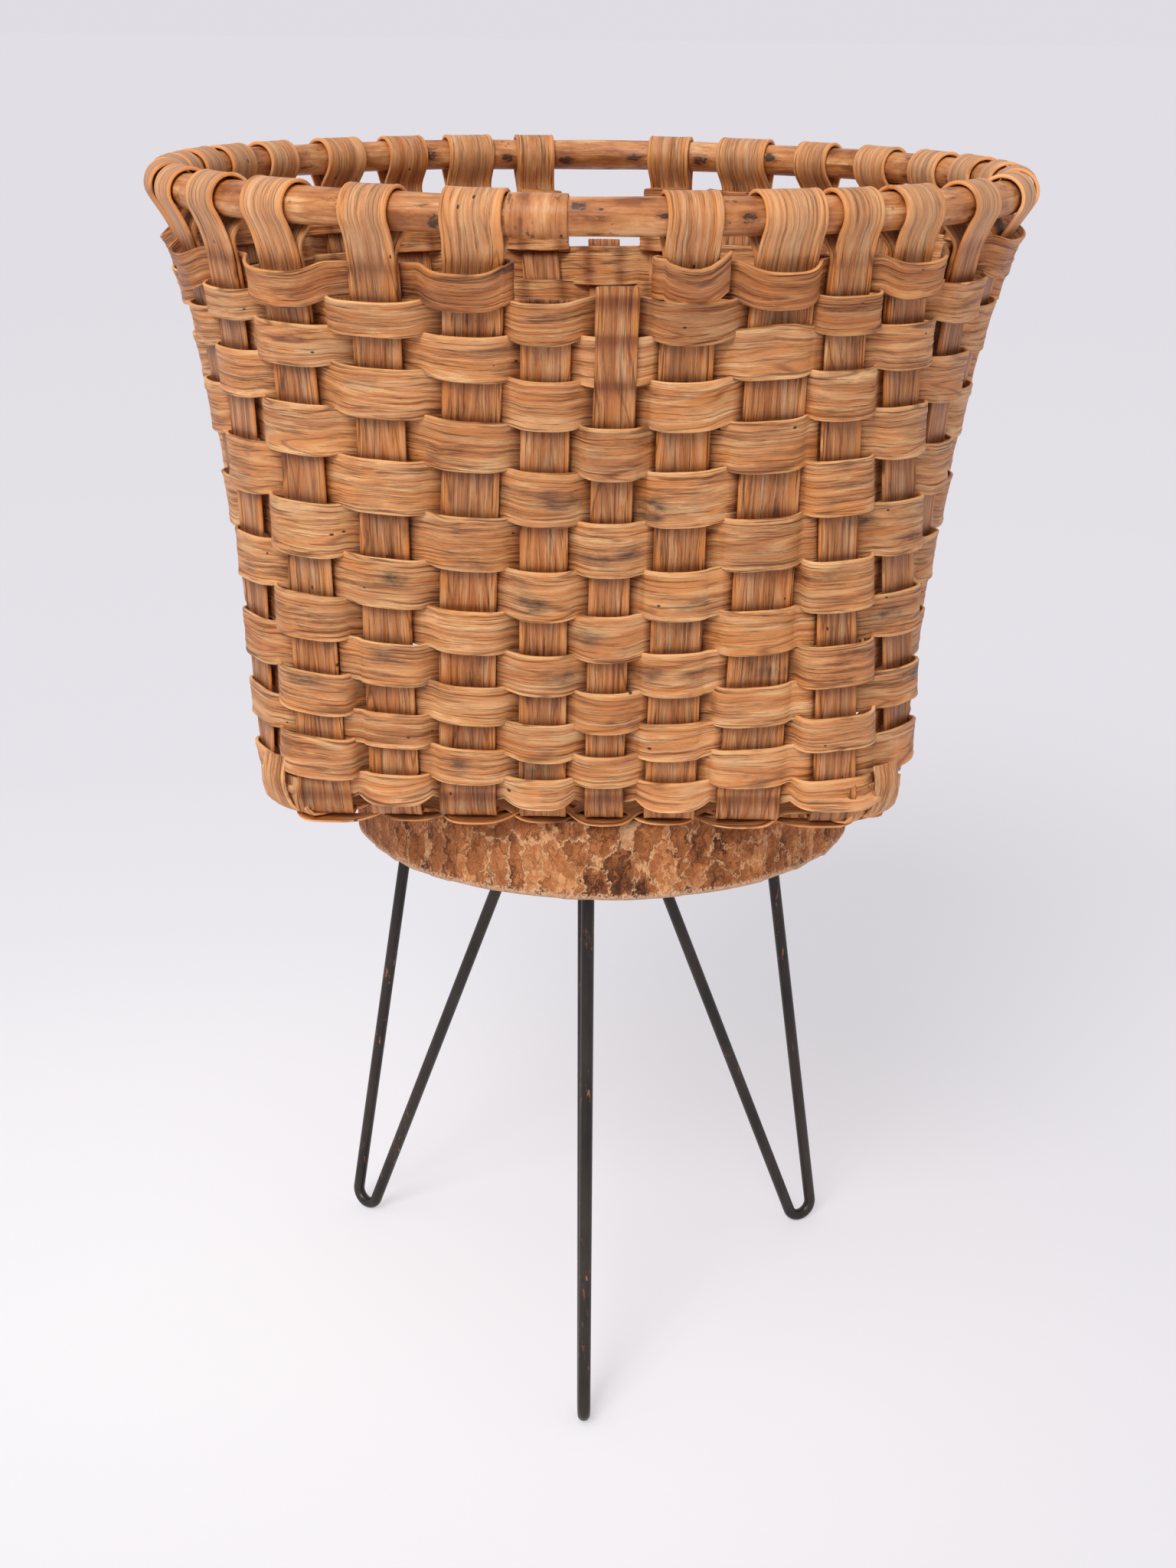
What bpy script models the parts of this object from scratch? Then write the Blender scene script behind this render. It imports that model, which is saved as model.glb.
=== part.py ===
# Woven splint basket, standing loose on a stool with a log-slice seat and three hairpin legs.
# Units are metres and +Z is up. The origin is on the floor, under the middle of the basket's rim.
# Heights in the basket are measured from the seat's top face, which carries it.
import math

import bmesh
import bpy
from mathutils import Matrix, Vector

MM = 0.001

# Hairpin legs: one steel rod each, bent in two at the foot
ROD_DIAMETER = 9.5 * MM
ROD_SIDES = 8
FOOT_BEND_RADIUS = 11.0 * MM
# The bend at the foot is made in these steps, at most so many to each side
FOOT_STEP = math.radians(20.0)
FOOT_STEPS = 9
LEG_HEIGHT = 405.9 * MM
ROD_DEPTH = 35.0 * MM
FEET_RADIUS = 217.6 * MM
OUTER_HOLE_RADIUS = 166.7 * MM
INNER_HOLE_RADIUS = 44.9 * MM
# name: direction of the foot about the seat's middle, and twist of the two holes about it, in degrees
LEGS = {"front": (-87.6, 0.0), "right": (28.2, 1.0), "left": (149.3, -8.0)}
LEGS_OFFSET_X = -1.5 * MM
HOLE_SIDES = 8
CUTTER_BELOW = 28.5 * MM

# Seat: a slice of a log, hewn round
SLAB_RADIUS = 191.3 * MM
SLAB_THICKNESS = 58.5 * MM
SLAB_CHAMFER = 4.0 * MM
SLAB_WAVE = 1.6 * MM
# Waves round its edge: how many, share of the whole, and where they start
SLAB_WAVES = ((3, 0.5, 1.0), (5, 0.3, 2.2), (11, 0.2, 0.0))
SLAB_SIDES = 40
SLAB_OFFSET_X = 12.7 * MM
# The basket stands this far back from the middle of the seat
BASKET_SETBACK = 14.9 * MM

# Splints
SPLINT_THICKNESS = 2.6 * MM
WEAVER_THICKNESS = 2.4 * MM
# Lengthwise splints A to H, left to right: width, and place across the base as a share of its half width
LENGTHWISE = {
    "a": (38.0 * MM, -0.795), "b": (35.0 * MM, -0.574), "c": (39.0 * MM, -0.350), "d": (32.0 * MM, -0.118),
    "e": (27.0 * MM, 0.073), "f": (35.0 * MM, 0.277), "g": (43.0 * MM, 0.520), "h": (31.0 * MM, 0.784),
}
# Cross splints 1 to 8, front to back, in the same way
CROSS = {
    "1": (36.0 * MM, -0.750), "2": (33.0 * MM, -0.536), "3": (38.0 * MM, -0.318), "4": (34.0 * MM, -0.109),
    "5": (30.0 * MM, 0.100), "6": (36.0 * MM, 0.309), "7": (35.0 * MM, 0.518), "8": (33.0 * MM, 0.736),
}
# Directions in which the splints reach the rim, in degrees about its axis, going round from the front left
RIM_FRONT = (229.8, 244.4, 257.4, 265.7, 274.0, 282.3, 294.1, 303.0)
RIM_RIGHT = (312.5, 325.5, 340.0, 353.0, 5.5, 17.0, 28.5, 41.0)
RIM_BACK = (53.1, 65.8, 78.2, 89.3, 100.2, 111.0, 122.2, 134.0)
RIM_LEFT = (147.5, 158.3, 168.2, 177.4, 186.4, 195.6, 205.6, 217.2)

# Basket: a square base, with walls that open out to a round rim
BASE_HALF_WIDTH = 224.0 * MM
BEND_RADIUS = 26.5 * MM
BEND_ANGLE = 79.0
RIM_RADIUS = 306.0 * MM
POLE_DIAMETER = 24.9 * MM
POLE_SIDES = 8
POLE_STEPS = 56
POLE_ABOVE_ROWS = 25.8 * MM
# The wall opens steadily and then a little faster under the rim
FLARE_STEADY = 0.84
FLARE_LIP = 0.15
LIP_POWER = 6
# Height in millimetres that each row of weaving takes up, from the lowest row to the top one
ROW_MILLIMETRES = (12.5, 18.5, 23.0, 25.5, 27.5, 28.0, 31.5, 34.0, 34.0, 31.5, 29.5, 29.0, 24.5, 25.0)
# A splint that turns less than this on its way up needs fewer levels: the edges above so many rows
SMALL_TWIST = 7.5
FEW_EDGE_COUNTS = (0, 4, 7, 10, 12, 14)

# Loops, ends and the rim's joint. A loop's tail comes down inside as many rows
TAIL_ROW_COUNT = 2
FOLD_RISE = 8.0 * MM
FOLD_SETTLE = 8.0 * MM
FOLDED_TAIL_LAP = 26.0 * MM
STUB_RISE = 6.5 * MM
WRAP_END = 3.0 * MM
SLEEVE_LENGTH = 37.0 * MM
SLEEVE_THICKNESS = 1.2 * MM
SCARF_LENGTH = 28.0 * MM

# Clearances
SEAT_GAP = 0.3 * MM
LAYER_GAP = 0.35 * MM
EDGE_GAP = 0.8 * MM
ROW_GAP = 0.8 * MM
HOLE_GAP = 0.3 * MM
SCARF_GAP = 0.4 * MM

# Less than any real size, for comparing heights
HAIR = 0.001 * MM

SLAB_TOP = LEG_HEIGHT + SLAB_THICKNESS
# Middle heights of the flat splints in the base, above the seat
BASE_LAYER = SEAT_GAP + 1.5 * SPLINT_THICKNESS + LAYER_GAP
BEND_TOP = BASE_LAYER + BEND_RADIUS * (1.0 - math.cos(math.radians(BEND_ANGLE)))
BEND_START = BASE_HALF_WIDTH - BEND_RADIUS * math.sin(math.radians(BEND_ANGLE))
BEND_STEPS = 3
ROWS = len(ROW_MILLIMETRES)
EDGES = [BEND_TOP + MM * sum(ROW_MILLIMETRES[:count]) for count in range(ROWS + 1)]
RIM_HEIGHT = EDGES[-1] + POLE_ABOVE_ROWS
# Distances between the middles of layers that lie on each other
SPLINT_ON_SPLINT = SPLINT_THICKNESS + LAYER_GAP
WEAVER_ON_SPLINT = 0.5 * (SPLINT_THICKNESS + WEAVER_THICKNESS) + LAYER_GAP
WEAVER_ON_TAIL = WEAVER_ON_SPLINT + SPLINT_ON_SPLINT
# A loop goes round the pole in these steps, from under its outer side to under its inner side
LOOP_STEP = math.radians(45.0)
LOOP_STEPS = range(-1, 6)


def material(name, colour, roughness, metallic=0.0):
    """A plain finish in one colour."""
    made = bpy.data.materials.new(name)
    made.use_nodes = True
    shader = made.node_tree.nodes["Principled BSDF"]
    shader.inputs["Base Color"].default_value = (*colour, 1.0)
    shader.inputs["Roughness"].default_value = roughness
    shader.inputs["Metallic"].default_value = metallic
    return made


def add_object(name, bm, finish, parent):
    """Makes a mesh that is drawn in world places into an object under an empty."""
    bmesh.ops.recalc_face_normals(bm, faces=bm.faces)
    bmesh.ops.translate(bm, verts=bm.verts, vec=-parent.location)
    mesh = bpy.data.meshes.new(name)
    bm.to_mesh(mesh)
    bm.free()
    mesh.materials.append(finish)
    made = bpy.data.objects.new(name, mesh)
    made.parent = parent
    bpy.context.scene.collection.objects.link(made)
    return made


def add_empty(name, place):
    """An empty that carries the pieces of one body."""
    made = bpy.data.objects.new(name, None)
    made.location = place
    bpy.context.scene.collection.objects.link(made)
    return made


def rises_to_right(start, end):
    """Whether a diagonal goes up to the right, seen from outside the basket."""
    middle = 0.5 * (start.co + end.co)
    run = end.co - start.co
    return run.z * (run.y * middle.x - run.x * middle.y) > 0.0


def split_side(bm, near_start, near_end, far_end, far_start):
    """One side of a loft as two triangles. Sides that face each other are split alike and keep clear."""
    if rises_to_right(near_start, far_end):
        bm.faces.new((near_start, near_end, far_end))
        bm.faces.new((near_start, far_end, far_start))
    else:
        bm.faces.new((near_end, far_end, far_start))
        bm.faces.new((near_end, far_start, near_start))


def loft(name, sections, finish, parent, closed=False):
    """A solid through a row of sections that all have as many corners."""
    bm = bmesh.new()
    rings = [[bm.verts.new(corner) for corner in section] for section in sections]
    following = rings[1:] + rings[:1] if closed else rings[1:]
    for near, far in zip(rings, following):
        for corner in range(len(near)):
            other = (corner + 1) % len(near)
            split_side(bm, near[corner], near[other], far[other], far[corner])
    if not closed:
        bm.faces.new(list(reversed(rings[0])))
        bm.faces.new(rings[-1])
    return add_object(name, bm, finish, parent)


def mitre(before, after):
    """The offset direction at a corner, long enough to keep both runs at their thickness."""
    return (before + after) / (1.0 + before.dot(after))


def polar(radius, degrees, height=0.0):
    """A point at a radius and a direction about the Z axis."""
    turn = math.radians(degrees)
    return Vector((radius * math.cos(turn), radius * math.sin(turn), height))


# Wall of the basket

FACES = (
    # tangent going round anticlockwise, outward direction, sign of the share along the tangent
    (Vector((1.0, 0.0, 0.0)), Vector((0.0, -1.0, 0.0)), 1.0),
    (Vector((0.0, 1.0, 0.0)), Vector((1.0, 0.0, 0.0)), 1.0),
    (Vector((-1.0, 0.0, 0.0)), Vector((0.0, 1.0, 0.0)), -1.0),
    (Vector((0.0, -1.0, 0.0)), Vector((-1.0, 0.0, 0.0)), -1.0),
)


def row_head(row):
    """Upper edge of a row, counted from the top one."""
    return EDGES[ROWS + 1 - row]


def row_foot(row):
    """Lower edge of a row, counted from the top one."""
    return EDGES[ROWS - row]


def list_stakes():
    """The 32 upright ends of the splints, going round anticlockwise from the front left."""
    lengthwise = list(LENGTHWISE.values())
    cross = list(CROSS.values())
    runs = (lengthwise, cross, lengthwise[::-1], cross[::-1])
    stakes = []
    for face, splints, angles in zip(FACES, runs, (RIM_FRONT, RIM_RIGHT, RIM_BACK, RIM_LEFT)):
        for (width, share), angle in zip(splints, angles):
            stakes.append({"width": width, "share": share, "face": face, "angle": angle})
    return stakes


STAKES = list_stakes()
# Places in that ring of the ends that are treated on their own
FRONT_C, FRONT_D, FRONT_E, FRONT_F = 2, 3, 4, 5
BACK_F, BACK_E, BACK_D = 18, 19, 20
CUT_STAKES = (FRONT_D, FRONT_E, BACK_E)
# A splint's two ends add up to one of these: 0 to 7 are at the front, 8 to 15 at the right and so on
FRONT_OPPOSITE, RIGHT_FIRST, RIGHT_OPPOSITE = 23, 8, 39


def half_width(height):
    """Distance of the wall's middle surface from the axis, at the middle of a side."""
    rise = (height - BEND_TOP) / (EDGES[-1] - BEND_TOP)
    opening = FLARE_STEADY * rise + FLARE_LIP * rise ** LIP_POWER
    return BASE_HALF_WIDTH + (RIM_RADIUS - BASE_HALF_WIDTH) * opening


def level_section(stake, height):
    """Middle, tangent and outward direction of an upright at one of the levels."""
    tangent, outward, sign = stake["face"]
    roundness = (height - BEND_TOP) / (RIM_HEIGHT - BEND_TOP)
    reach = half_width(height)
    on_square = outward * reach + tangent * (sign * stake["share"] * reach)
    on_circle = polar(reach, stake["angle"])
    middle = on_square.lerp(on_circle, roundness) + Vector((0.0, 0.0, height))
    away = outward.lerp(polar(1.0, stake["angle"]), roundness).normalized()
    return middle, Vector((-away.y, away.x, 0.0)), away


def stake_levels(stake):
    """Heights at which an upright changes direction."""
    face_angle = math.degrees(math.atan2(stake["face"][1].y, stake["face"][1].x))
    twist = (stake["angle"] - face_angle + 180.0) % 360.0 - 180.0
    return [EDGES[row] for row in FEW_EDGE_COUNTS] if abs(twist) < SMALL_TWIST else EDGES


def wall_section(stake, height):
    """The same at any height, on the straight runs between the levels."""
    levels = stake_levels(stake)
    upper = next((level for level in levels[1:] if level >= height - HAIR), levels[-1])
    lower = levels[levels.index(upper) - 1]
    share = (height - lower) / (upper - lower)
    low, high = level_section(stake, lower), level_section(stake, upper)
    middle = low[0].lerp(high[0], share)
    away = low[2].lerp(high[2], share).normalized()
    return middle, Vector((-away.y, away.x, 0.0)), away


# Splints

def bend_points(stake):
    """Middle points of an upright's bend out of the base, from the flat base upwards."""
    tangent, outward, sign = stake["face"]
    along = tangent * (sign * stake["share"] * BASE_HALF_WIDTH)
    points = []
    for step in range(BEND_STEPS):
        turn = math.radians(BEND_ANGLE) * step / BEND_STEPS
        reach = BEND_START + BEND_RADIUS * math.sin(turn)
        height = BASE_LAYER + BEND_RADIUS * (1.0 - math.cos(turn))
        points.append((along + outward * reach + Vector((0.0, 0.0, height)), tangent))
    return points


def loop_points(stake):
    """Middle points of the loop over the pole and of the tail that comes down inside."""
    away = polar(1.0, stake["angle"])
    tangent = Vector((-away.y, away.x, 0.0))
    # A flat splint lies on a curved pole of straight runs, so it stands off by both their bows
    splint_bow = stake["width"] ** 2 / (8.0 * (RIM_RADIUS - 0.5 * POLE_DIAMETER))
    pole_bow = RIM_RADIUS * (1.0 - math.cos(math.pi / POLE_STEPS))
    flat = 0.5 * POLE_DIAMETER + SEAT_GAP + splint_bow + pole_bow + 0.5 * SPLINT_THICKNESS
    corner = flat / math.cos(0.5 * LOOP_STEP)
    points = []
    for step in LOOP_STEPS:
        turn = step * LOOP_STEP
        reach = RIM_RADIUS + corner * math.cos(turn)
        points.append((away * reach + Vector((0.0, 0.0, RIM_HEIGHT + corner * math.sin(turn))), tangent))
    for height in [row_head(row) for row in range(1, TAIL_ROW_COUNT + 1)] + [row_foot(TAIL_ROW_COUNT)]:
        middle, along, out = wall_section(stake, height)
        points.append((middle - out * SPLINT_ON_SPLINT, along))
    return points


def wall_points(stake, top):
    """Middle points of an upright from the top of its bend to a height."""
    heights = [level for level in stake_levels(stake) if level < top] + [top]
    return [wall_section(stake, height)[:2] for height in heights]


def folded_points(stake):
    """Middle points of the end that is folded outwards and tucked under the fifth row from the top."""
    over_weaver = 2.0 * WEAVER_ON_SPLINT
    route = (
        (over_weaver, row_head(2) + FOLD_RISE),
        (over_weaver, row_head(3)),
        (over_weaver, row_foot(3) - ROW_GAP),
        (SPLINT_ON_SPLINT, row_foot(3) - FOLD_SETTLE),
        (SPLINT_ON_SPLINT, row_head(5)),
        (SPLINT_ON_SPLINT, row_head(5) - FOLDED_TAIL_LAP),
    )
    points = []
    for offset, height in route:
        middle, along, out = wall_section(stake, height)
        points.append((middle + out * offset, along))
    return points


def upright_points(place):
    """Middle points of one upright end, from the flat base to its tip."""
    stake = STAKES[place]
    points = bend_points(stake)
    if place == FRONT_D:
        return points + wall_points(stake, row_head(2) - ROW_GAP)
    if place == FRONT_E:
        return points + wall_points(stake, row_head(2) + FOLD_RISE) + folded_points(stake)
    if place == BACK_E:
        return points + wall_points(stake, row_head(3) + STUB_RISE)
    return points + wall_points(stake, row_head(1)) + loop_points(stake)


def splint_sections(points, width):
    """Four-cornered sections square to the run of a splint."""
    sections = []
    normals = []
    for (near, along), (far, _) in zip(points, points[1:]):
        normals.append(along.cross(far - near).normalized())
    for index, (middle, along) in enumerate(points):
        before = normals[max(index - 1, 0)]
        after = normals[min(index, len(normals) - 1)]
        half = mitre(before, after) * (0.5 * SPLINT_THICKNESS)
        left, right = middle - along * (0.5 * width), middle + along * (0.5 * width)
        sections.append((left - half, right - half, right + half, left + half))
    return sections


def crossing_points(number):
    """Middle points of a cross splint under and over the lengthwise ones, from left to right."""
    _, share = CROSS[number]
    row = list(CROSS).index(number)
    points = []
    for column, (width, place) in enumerate(LENGTHWISE.values()):
        side = 1.0 if (row + column) % 2 else -1.0
        for edge in (-1.0, 1.0):
            across = place * BASE_HALF_WIDTH + edge * (0.5 * width + EDGE_GAP)
            height = BASE_LAYER + side * SPLINT_ON_SPLINT
            points.append((Vector((across, share * BASE_HALF_WIDTH, height)), Vector((0.0, 1.0, 0.0))))
    return points


def raise_to_seat(points):
    """Turns heights above the seat into heights above the floor."""
    return [(middle + Vector((0.0, 0.0, SLAB_TOP)), along) for middle, along in points]


def turned(points):
    """The same points from the other end, with the width the other way."""
    return [(middle, -along) for middle, along in reversed(points)]


def build_splints(finish, parent):
    """The 16 long splints: up one wall, across the base and up the other wall."""
    for index, (letter, (width, _)) in enumerate(LENGTHWISE.items()):
        front = upright_points(index)
        back = upright_points(FRONT_OPPOSITE - index)
        points = turned(back) + front
        loft("splint_lengthwise_" + letter, splint_sections(raise_to_seat(points), width), finish, parent)
    for index, (number, (width, _)) in enumerate(CROSS.items()):
        right = upright_points(RIGHT_FIRST + index)
        left = upright_points(RIGHT_OPPOSITE - RIGHT_FIRST - index)
        points = turned(left[1:]) + crossing_points(number) + right[1:]
        loft("splint_cross_" + number, splint_sections(raise_to_seat(points), width), finish, parent)


# Weavers

def pass_offset(row, place):
    """How far outside an upright's middle surface a row, counted from the top, passes it."""
    outside = (row + place) % 2
    if row == 5 and place == FRONT_E:
        return WEAVER_ON_TAIL
    if outside:
        return WEAVER_ON_SPLINT
    if row <= TAIL_ROW_COUNT and place not in CUT_STAKES:
        return -WEAVER_ON_TAIL
    return -WEAVER_ON_SPLINT


def pass_points(place, offset, edges=(-1.0, 1.0), beyond=EDGE_GAP):
    """Spots beside the two edges of an upright: place in the ring, shift along and shift out."""
    half = 0.5 * STAKES[place]["width"] + beyond
    return [(place, edge * half, offset) for edge in edges]


def row_route(row, places):
    """Spots of a row past a list of uprights, going round anticlockwise."""
    spots = []
    for place in places:
        spots += pass_points(place, pass_offset(row, place))
    return spots


def wrap_route(place, edge):
    """Spots of an end that goes round one edge of an upright and comes back on its inner side."""
    turn = LAYER_GAP + 0.5 * WEAVER_THICKNESS
    out, inside = WEAVER_ON_SPLINT, -WEAVER_ON_TAIL
    start = pass_points(place, out, (-edge,))
    around = pass_points(place, out, (edge,), turn) + pass_points(place, inside, (edge,), turn)
    return start + around + pass_points(place, inside, (-edge,), -WRAP_END)


def ring_places(first, last):
    """Places from first to last, going round anticlockwise."""
    count = (last - first) % len(STAKES)
    return [(first + step) % len(STAKES) for step in range(count + 1)]


def edge_line(spots, height, closed):
    """Inner and outer corner points of a weaver's edge at a height."""
    middles = []
    for place, along, out in spots:
        middle, tangent, away = wall_section(STAKES[place], height)
        middles.append(middle + tangent * along + away * out)
    count = len(middles)
    normals = []
    for index in range(count if closed else count - 1):
        run = (middles[(index + 1) % count] - middles[index]).normalized()
        normals.append(Vector((run.y, -run.x, 0.0)))
    corners = []
    for index, middle in enumerate(middles):
        before = normals[index - 1] if closed or index else normals[0]
        after = normals[index] if index < len(normals) else normals[-1]
        half = mitre(before, after) * (0.5 * WEAVER_THICKNESS)
        corners.append((middle - half, middle + half))
    return corners


def weaver(name, row, spots, finish, parent, closed):
    """One strip of a row, counted from the top, through its spots."""
    lower = edge_line(spots, row_foot(row), closed)
    upper = edge_line(spots, row_head(row) - ROW_GAP, closed)
    lift = Vector((0.0, 0.0, SLAB_TOP))
    sections = []
    for (low_in, low_out), (high_in, high_out) in zip(lower, upper):
        sections.append((low_in + lift, low_out + lift, high_out + lift, high_in + lift))
    loft(name, sections, finish, parent, closed)


def build_weavers(finish, parent):
    """The 14 rows, counted from the top. The top two are open at the hand-holds."""
    left = wrap_route(BACK_D, -1.0)[::-1] + row_route(1, ring_places(BACK_D + 1, FRONT_C - 1))
    left += wrap_route(FRONT_C, 1.0)
    weaver("row_1_left", 1, left, finish, parent, False)
    start = wrap_route(FRONT_F, -1.0)
    start[0] = (FRONT_F, 0.5 * STAKES[FRONT_F]["width"] - WRAP_END, WEAVER_ON_SPLINT)
    start[-1] = pass_points(FRONT_F, -WEAVER_ON_TAIL, (1.0,))[0]
    right = start + row_route(1, ring_places(FRONT_F + 1, BACK_F - 1)) + wrap_route(BACK_F, 1.0)
    weaver("row_1_right", 1, right, finish, parent, False)
    weaver("row_2", 2, row_route(2, ring_places(BACK_D, BACK_F)), finish, parent, False)
    for row in range(3, ROWS + 1):
        weaver("row_%d" % row, row, row_route(row, range(len(STAKES))), finish, parent, True)


# Rim pole

def pole_ring(degrees, radius, slant=0.0):
    """A ring of corners round the pole. A slanted ring leans along the pole as it goes up."""
    ring = []
    for side in range(POLE_SIDES):
        turn = 2.0 * math.pi * side / POLE_SIDES
        rise = radius * math.sin(turn)
        lean = math.degrees(slant * rise / POLE_DIAMETER / RIM_RADIUS)
        reach = RIM_RADIUS + radius * math.cos(turn)
        ring.append(polar(reach, degrees + lean, SLAB_TOP + RIM_HEIGHT + rise))
    return ring


def sleeve_span():
    """Start and end of the sleeve, in degrees, next to the loop of splint C."""
    stake = STAKES[FRONT_C]
    inner_radius = RIM_RADIUS - 0.5 * POLE_DIAMETER
    start = stake["angle"] + math.degrees((0.5 * stake["width"] + EDGE_GAP) / inner_radius)
    return start, start + math.degrees(SLEEVE_LENGTH / RIM_RADIUS)


def build_pole(finish, parent):
    """The pole, bent to a hoop, with its two slanted ends meeting inside the sleeve."""
    start, end = sleeve_span()
    joint = 0.5 * (start + end)
    half_gap = math.degrees(0.5 * SCARF_GAP / RIM_RADIUS)
    radius = 0.5 * POLE_DIAMETER
    rings = [pole_ring(joint + half_gap, radius, SCARF_LENGTH)]
    for step in range(1, POLE_STEPS):
        rings.append(pole_ring(joint + 360.0 * step / POLE_STEPS, radius))
    rings.append(pole_ring(joint + 360.0 - half_gap, radius, SCARF_LENGTH))
    loft("rim_pole", rings, finish, parent)


def build_sleeve(finish, parent):
    """The thin strip wrapped round the pole's joint."""
    start, end = sleeve_span()
    pole_bow = RIM_RADIUS * (1.0 - math.cos(math.pi / POLE_STEPS))
    stretch = 1.0 / math.cos(math.pi / POLE_SIDES)
    inner = 0.5 * POLE_DIAMETER + (SEAT_GAP + pole_bow) * stretch
    outer = inner + SLEEVE_THICKNESS * stretch
    bm = bmesh.new()
    spans = []
    for degrees in (start, 0.5 * (start + end), end):
        for radius in (inner, outer):
            spans.append([bm.verts.new(corner) for corner in pole_ring(degrees, radius)])
    first_in, first_out, middle_in, middle_out, last_in, last_out = spans
    chain = (first_in, middle_in, last_in, last_out, middle_out, first_out, first_in)
    for near, far in zip(chain, chain[1:]):
        for corner in range(POLE_SIDES):
            other = (corner + 1) % POLE_SIDES
            bm.faces.new((near[corner], near[other], far[other], far[corner]))
    add_object("rim_joint_sleeve", bm, finish, parent)


# Stand

def leg_frame(name):
    """A leg's holes in the seat's underside, and the in-plane directions of its bend."""
    azimuth, twist = LEGS[name]
    centre = Vector((LEGS_OFFSET_X, -BASKET_SETBACK, 0.0))
    foot = centre + polar(FEET_RADIUS, azimuth)
    middle = centre + polar(0.5 * (OUTER_HOLE_RADIUS + INNER_HOLE_RADIUS), azimuth)
    across = polar(1.0, azimuth + twist)
    lift = Vector((0.0, 0.0, LEG_HEIGHT))
    spread = 0.5 * (OUTER_HOLE_RADIUS - INNER_HOLE_RADIUS)
    outer, inner = middle + across * spread + lift, middle - across * spread + lift
    rise = middle + lift - foot
    up = (rise - across * rise.dot(across)).normalized()
    return foot, outer, inner, across, up


def tangent_angle(point, centre, across, up, side):
    """Angle on the foot's bend where the straight rod to a point leaves it."""
    reach = (point - centre).dot(across)
    rise = (point - centre).dot(up)
    toward = math.atan2(rise, reach)
    return toward - side * math.acos(FOOT_BEND_RADIUS / math.hypot(reach, rise))


def leg_route(name):
    """Middle points of a hairpin from its outer hole, round the foot and up to its inner hole."""
    foot, outer, inner, across, up = leg_frame(name)
    flat = 0.5 * ROD_DIAMETER * math.cos(math.pi / ROD_SIDES)
    low = flat + FOOT_BEND_RADIUS * math.cos(0.5 * FOOT_STEP) * up.z
    centre = foot + up * (low / up.z)
    first = tangent_angle(outer, centre, across, up, 1.0)
    last = tangent_angle(inner, centre, across, up, -1.0) - 2.0 * math.pi
    # Even steps to both sides of the lowest point, so that one run lies flat on the floor
    angles = [first]
    for step in range(FOOT_STEPS, -FOOT_STEPS, -1):
        turn = -0.5 * math.pi + (step - 0.5) * FOOT_STEP
        if last + 0.3 * FOOT_STEP < turn < first - 0.3 * FOOT_STEP:
            angles.append(turn)
    angles.append(last)
    bend = [centre + (across * math.cos(turn) + up * math.sin(turn)) * FOOT_BEND_RADIUS for turn in angles]
    outer_tip = outer + (outer - bend[0]).normalized() * ROD_DEPTH
    inner_tip = inner + (inner - bend[-1]).normalized() * ROD_DEPTH
    return [outer_tip] + bend + [inner_tip], across.cross(up)


def build_leg(name, finish, parent):
    """A rod with a flat facet under the foot."""
    route, side = leg_route(name)
    runs = [(far - near).normalized() for near, far in zip(route, route[1:])]
    # The facets are turned so that the one under the foot lies level
    tilt = math.asin(side.z)
    sections = []
    for index, middle in enumerate(route):
        before = runs[max(index - 1, 0)]
        after = runs[min(index, len(runs) - 1)]
        normal = mitre(before.cross(side), after.cross(side))
        ring = []
        for corner in range(ROD_SIDES):
            turn = 2.0 * math.pi * (corner + 0.5) / ROD_SIDES - tilt
            ring.append(middle + (side * math.cos(turn) + normal * math.sin(turn)) * (0.5 * ROD_DIAMETER))
        sections.append(ring)
    loft("hairpin_leg_" + name, sections, finish, parent)


def add_hole_cutter(name, mouth, direction, parent):
    """A cutter for one blind hole, along the rod that fills it."""
    radius = (0.5 * ROD_DIAMETER + HOLE_GAP) / math.cos(math.pi / HOLE_SIDES)
    length = CUTTER_BELOW + ROD_DEPTH + HOLE_GAP
    bm = bmesh.new()
    bmesh.ops.create_cone(
        bm, cap_ends=True, segments=HOLE_SIDES, radius1=radius, radius2=radius, depth=length
    )
    aim = direction.to_track_quat("Z", "Y").to_matrix().to_4x4()
    place = mouth + direction * (0.5 * length - CUTTER_BELOW)
    bmesh.ops.transform(bm, matrix=Matrix.Translation(place) @ aim, verts=bm.verts)
    cutter = add_object(name, bm, bpy.data.materials["hewn_log"], parent)
    cutter.hide_render = True
    cutter.display_type = "WIRE"
    return cutter


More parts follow.
